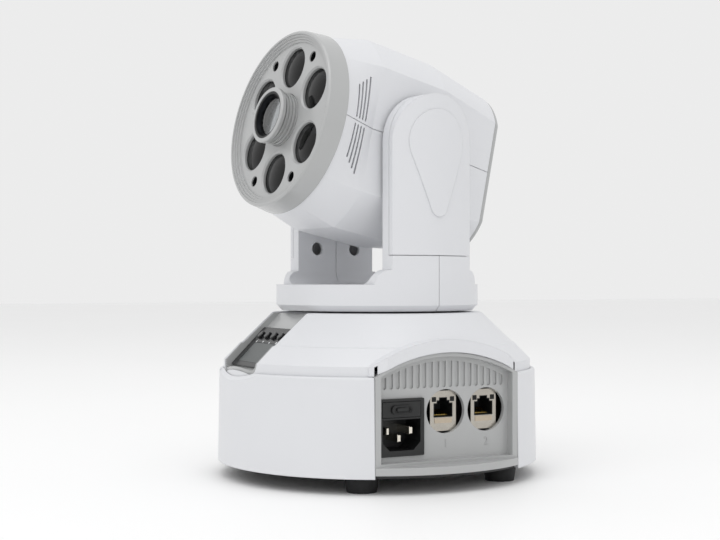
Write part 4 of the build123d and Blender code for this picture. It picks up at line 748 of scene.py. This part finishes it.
CONTACT_PITCH = 1.02 * MM
CONTACTS = 8
FLOOR_ABOVE_FOOT = 7.3 * MM
liners, springs, sills, windows = [], [], [], []
for name in ("data_socket_in", "data_socket_out"):
    jack_low, jack_high = (np.array(corner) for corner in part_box(name))
    front = jack_high[0]
    middle_y = (jack_low[1] + jack_high[1]) / 2
    floor_z = jack_low[2] + FLOOR_ABOVE_FOOT
    axes = Axes((front, middle_y, floor_z), (1, 0, 0), (0, 0, 1))
    rows = [np.column_stack([port_outline(inset), np.full(12, out)])
            for inset, out in ((0.06 * MM, -0.1 * MM), (0.35 * MM, 0.05 * MM), (0.45 * MM, -0.3 * MM),
                               (0.45 * MM, -12.2 * MM))]
    points = np.vstack(rows)
    faces = grid_faces(4, 12)[:, ::-1].tolist() + [list(range(36, 48))]
    liners.append((axes.place(points), faces))
    for number in range(CONTACTS):
        across = (number - (CONTACTS - 1) / 2) * CONTACT_PITCH
        lane = axes.moved(across, 0, 0)
        path = np.array([[-2.2, 0.6], [-2.6, 1.3], [-9.5, 3.4], [-9.9, 3.4], [-9.9, 3.1], [-2.4, 0.9],
                         [-2.0, 0.6]]) * MM
        side = Axes(lane.origin, lane.right, lane.up)
        springs.append(slab(path * [-1, 1], -0.2 * MM, 0.2 * MM, side))
    sill = rounded_box(10.6 * MM, 2.7 * MM, 0.3 * MM, 3) + [0, -1.75 * MM]
    sills.append(slab(sill, 0.0, 0.25 * MM, axes))
    for side in (-1, 1):
        window = rounded_box(2.5 * MM, 2.6 * MM, 0.3 * MM, 3) + [side * 5.6 * MM, 9.6 * MM]
        windows.append(slab(window, -0.1 * MM, 0.2 * MM, axes))
for name, parts, material, slot in (("port_liners", liners, BLACK, "black_plastic"),
                                    ("port_contacts", springs, GOLD, "contact_metal"),
                                    ("port_sills", sills, LINER, "jack_metal"),
                                    ("link_windows", windows, ACRYLIC, "lens_glass")):
    piece = to_object(name, *join_parts(parts), material, "base", smooth=False)
print(2 * CONTACTS, "contacts,", round(CONTACT_PITCH / MM, 2), "mm apart")

# %% [markdown]
# ## Marks on the connector panel
#
# The two data sockets need telling apart, so a plain 1 and a plain 2 stand below them, raised
# from the panel as a mould engraver would cut them. Text is drawn as a curve, turned into a
# mesh while it is still flat, and only then carried to its place.

# %% Raised numbers


def numeral(text, height, thickness, axes):
    """Mesh of a text in the built-in font, raised by thickness, its middle at the axes' origin."""
    curve = bpy.data.curves.new("numeral", "FONT")
    curve.body = text
    curve.size = height / 0.7
    curve.extrude = thickness / 2
    curve.align_x = "CENTER"
    curve.align_y = "CENTER"
    holder = bpy.data.objects.new("numeral", curve)
    mesh = bpy.data.meshes.new_from_object(holder)
    flat = np.empty(len(mesh.vertices) * 3, np.float32)
    mesh.vertices.foreach_get("co", flat)
    faces = [list(polygon.vertices) for polygon in mesh.polygons]
    bpy.data.objects.remove(holder)
    bpy.data.curves.remove(curve)
    bpy.data.meshes.remove(mesh)
    return axes.place(flat.reshape(-1, 3)), faces


panel_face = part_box("power_inlet")[1][0] - 1.6 * MM
numbers = []
for text, name in (("1", "data_socket_in"), ("2", "data_socket_out")):
    jack_low, jack_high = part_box(name)
    axes = Axes((panel_face + 0.1 * MM, (jack_low[1] + jack_high[1]) / 2, jack_low[2] - 6.5 * MM), (1, 0, 0),
                (0, 0, 1))
    numbers.append(numeral(text, 4.2 * MM, 0.4 * MM, axes))
number_piece = to_object("socket_numbers", *join_parts(numbers), GREY, "base", smooth=False)
print("panel face at x =", round(panel_face / MM, 2), "mm")

# %% [markdown]
# ## The grip of the fuse drawer
#
# The fuse drawer is pulled out with a fingernail behind a raised oval. An oval ring is two
# stadium outlines, one inside the other, and the wall between them is a grid of five rows.

# %% Drawer grip


def stadium(length, width, steps=10):
    """Outline of a bar with round ends, round the origin."""
    offset = (length - width) / 2
    return np.vstack([arc((offset, 0), width / 2, -90, 90, steps),
                      arc((-offset, 0), width / 2, 90, 270, steps)])


def oval_ring(length, width, wall, low, high, axes):
    """A stadium ring: outer and inner outlines, at the low and high levels, joined all round."""
    outer, inner = stadium(length, width), stadium(length - 2 * wall, width - 2 * wall)
    count = len(outer)
    rows = [np.column_stack([line, np.full(count, level)])
            for line, level in ((outer, low), (outer, high), (inner, high), (inner, low), (outer, low))]
    return axes.place(np.vstack(rows)), grid_faces(5, count).tolist()


drawer_low, drawer_high = (np.array(corner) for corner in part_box("fuse_drawer"))
drawer_middle = (drawer_low + drawer_high) / 2
drawer_axes = Axes((drawer_high[0], drawer_middle[1], drawer_middle[2]), (1, 0, 0), (0, 0, 1))
grip_parts = [oval_ring(12.4 * MM, 4.6 * MM, 0.5 * MM, -0.05 * MM, 0.35 * MM, drawer_axes),
              slab(stadium(6.2 * MM, 1.7 * MM), -0.05 * MM, 0.3 * MM, drawer_axes)]
grip = to_object("fuse_drawer_grip", *join_parts(grip_parts), BLACK, "drawer", smooth=False)
print("drawer front at x =", round(drawer_high[0] / MM, 2), "mm")

# %% [markdown]
# ## Marks on the display
#
# Four keys move through a menu: out, down, up and enter. Plain arrows and a square say that in
# any language. They are screen printed, so each is a very thin slab of ink on the window.

# %% Printed key marks
MARK_BELOW_KEY = 4.6 * MM
panel_high = span("display_panel", display)[1]
ink_low = panel_high[2] + 0.005 * MM
ink_high = panel_high[2] + 0.04 * MM
arrow = np.array([(-0.9, -0.7), (0.9, -0.7), (0.0, 0.9)]) * MM
square = np.array([(-0.7, -0.7), (0.7, -0.7), (0.7, 0.7), (-0.7, 0.7)]) * MM


def turned(outline, degrees):
    """An outline turned about the origin."""
    turn = math.radians(degrees)
    return outline @ np.array([[math.cos(turn), math.sin(turn)], [-math.sin(turn), math.cos(turn)]])


marks = []
for number, outline in enumerate((turned(arrow, 90), turned(arrow, 180), arrow, square), start=1):
    key_low, key_high = span(f"menu_button_{number}", display)
    key_middle = (key_low + key_high) / 2
    place = display.moved(key_middle[0], key_middle[1] - MARK_BELOW_KEY, 0)
    marks.append(slab(outline, ink_low, ink_high, place))
mark_piece = to_object("display_key_marks", *join_parts(marks), INK, "base", smooth=False)
print("display marks", round((ink_high - ink_low) / MM, 3), "mm thick")

# %% [markdown]
# ## The cooling fan
#
# Seen through the rear grille, the fan's blades are twisted: steep near the hub and flatter at
# the tip, because the tip moves faster. Each blade is a sheet over two parameters, radius and
# chord. Its angle falls with the radius, its chord grows a little, and it leans forward.

# %% Fan rotor
rotor_low, rotor_high = span("fan_rotor", head)
fan_axes = head.moved(0, 0, (rotor_low[2] + rotor_high[2]) / 2)
half_depth = (rotor_high[2] - rotor_low[2]) / 2
tip_radius = (rotor_high[0] - rotor_low[0]) / 2
hub_radius = 9.0 * MM
blades = 7


def blade(turn):
    """One blade: point = radius r at angle turn + lean + chord, with out = chord * sin(pitch angle)."""
    r = np.linspace(hub_radius - 0.3 * MM, tip_radius - 0.2 * MM, 14)[:, None]
    s = np.linspace(-1, 1, 12)[None, :]
    share = (r - r[0]) / (r[-1] - r[0])
    pitch_angle = np.radians(52 - 20 * share)
    chord = (5.6 + 3.2 * share) * MM
    angle = turn + 0.35 * share ** 1.5 + s * chord * np.cos(pitch_angle) / r
    out = -s * chord * np.sin(pitch_angle) * 0.8 + 0.5 * MM * (1 - s ** 2)
    out = np.clip(out, -half_depth + 0.3 * MM, half_depth - 0.3 * MM)
    return np.stack([r * np.cos(angle), r * np.sin(angle), out], axis=-1).reshape(-1, 3)


parts = []
for number in range(blades):
    sheet = blade(number * 2 * math.pi / blades)
    parts.append((fan_axes.place(sheet), grid_faces(14, 12, wrap=False)[:, ::-1].tolist()))
rotor = to_object("fan_rotor_blades", *join_parts(parts), BLACK, "fan")
thick = rotor.modifiers.new("blade_thickness", "SOLIDIFY")
thick.thickness = 0.6 * MM
thick.offset = 0
bevel = 0.8 * MM
hub_profile = np.array([[0, -half_depth], [hub_radius - bevel, -half_depth], [hub_radius, bevel - half_depth],
                        [hub_radius, half_depth], [0, half_depth]])
hub = to_object("fan_hub", *lathe(hub_profile, fan_axes, 64), BLACK, "fan")
hub_split = hub.modifiers.new("sharp_rim", "EDGE_SPLIT")
hub_split.split_angle = math.radians(50)
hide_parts("fan_rotor")
print(blades, "blades, tip radius", round(tip_radius / MM, 1), "mm")
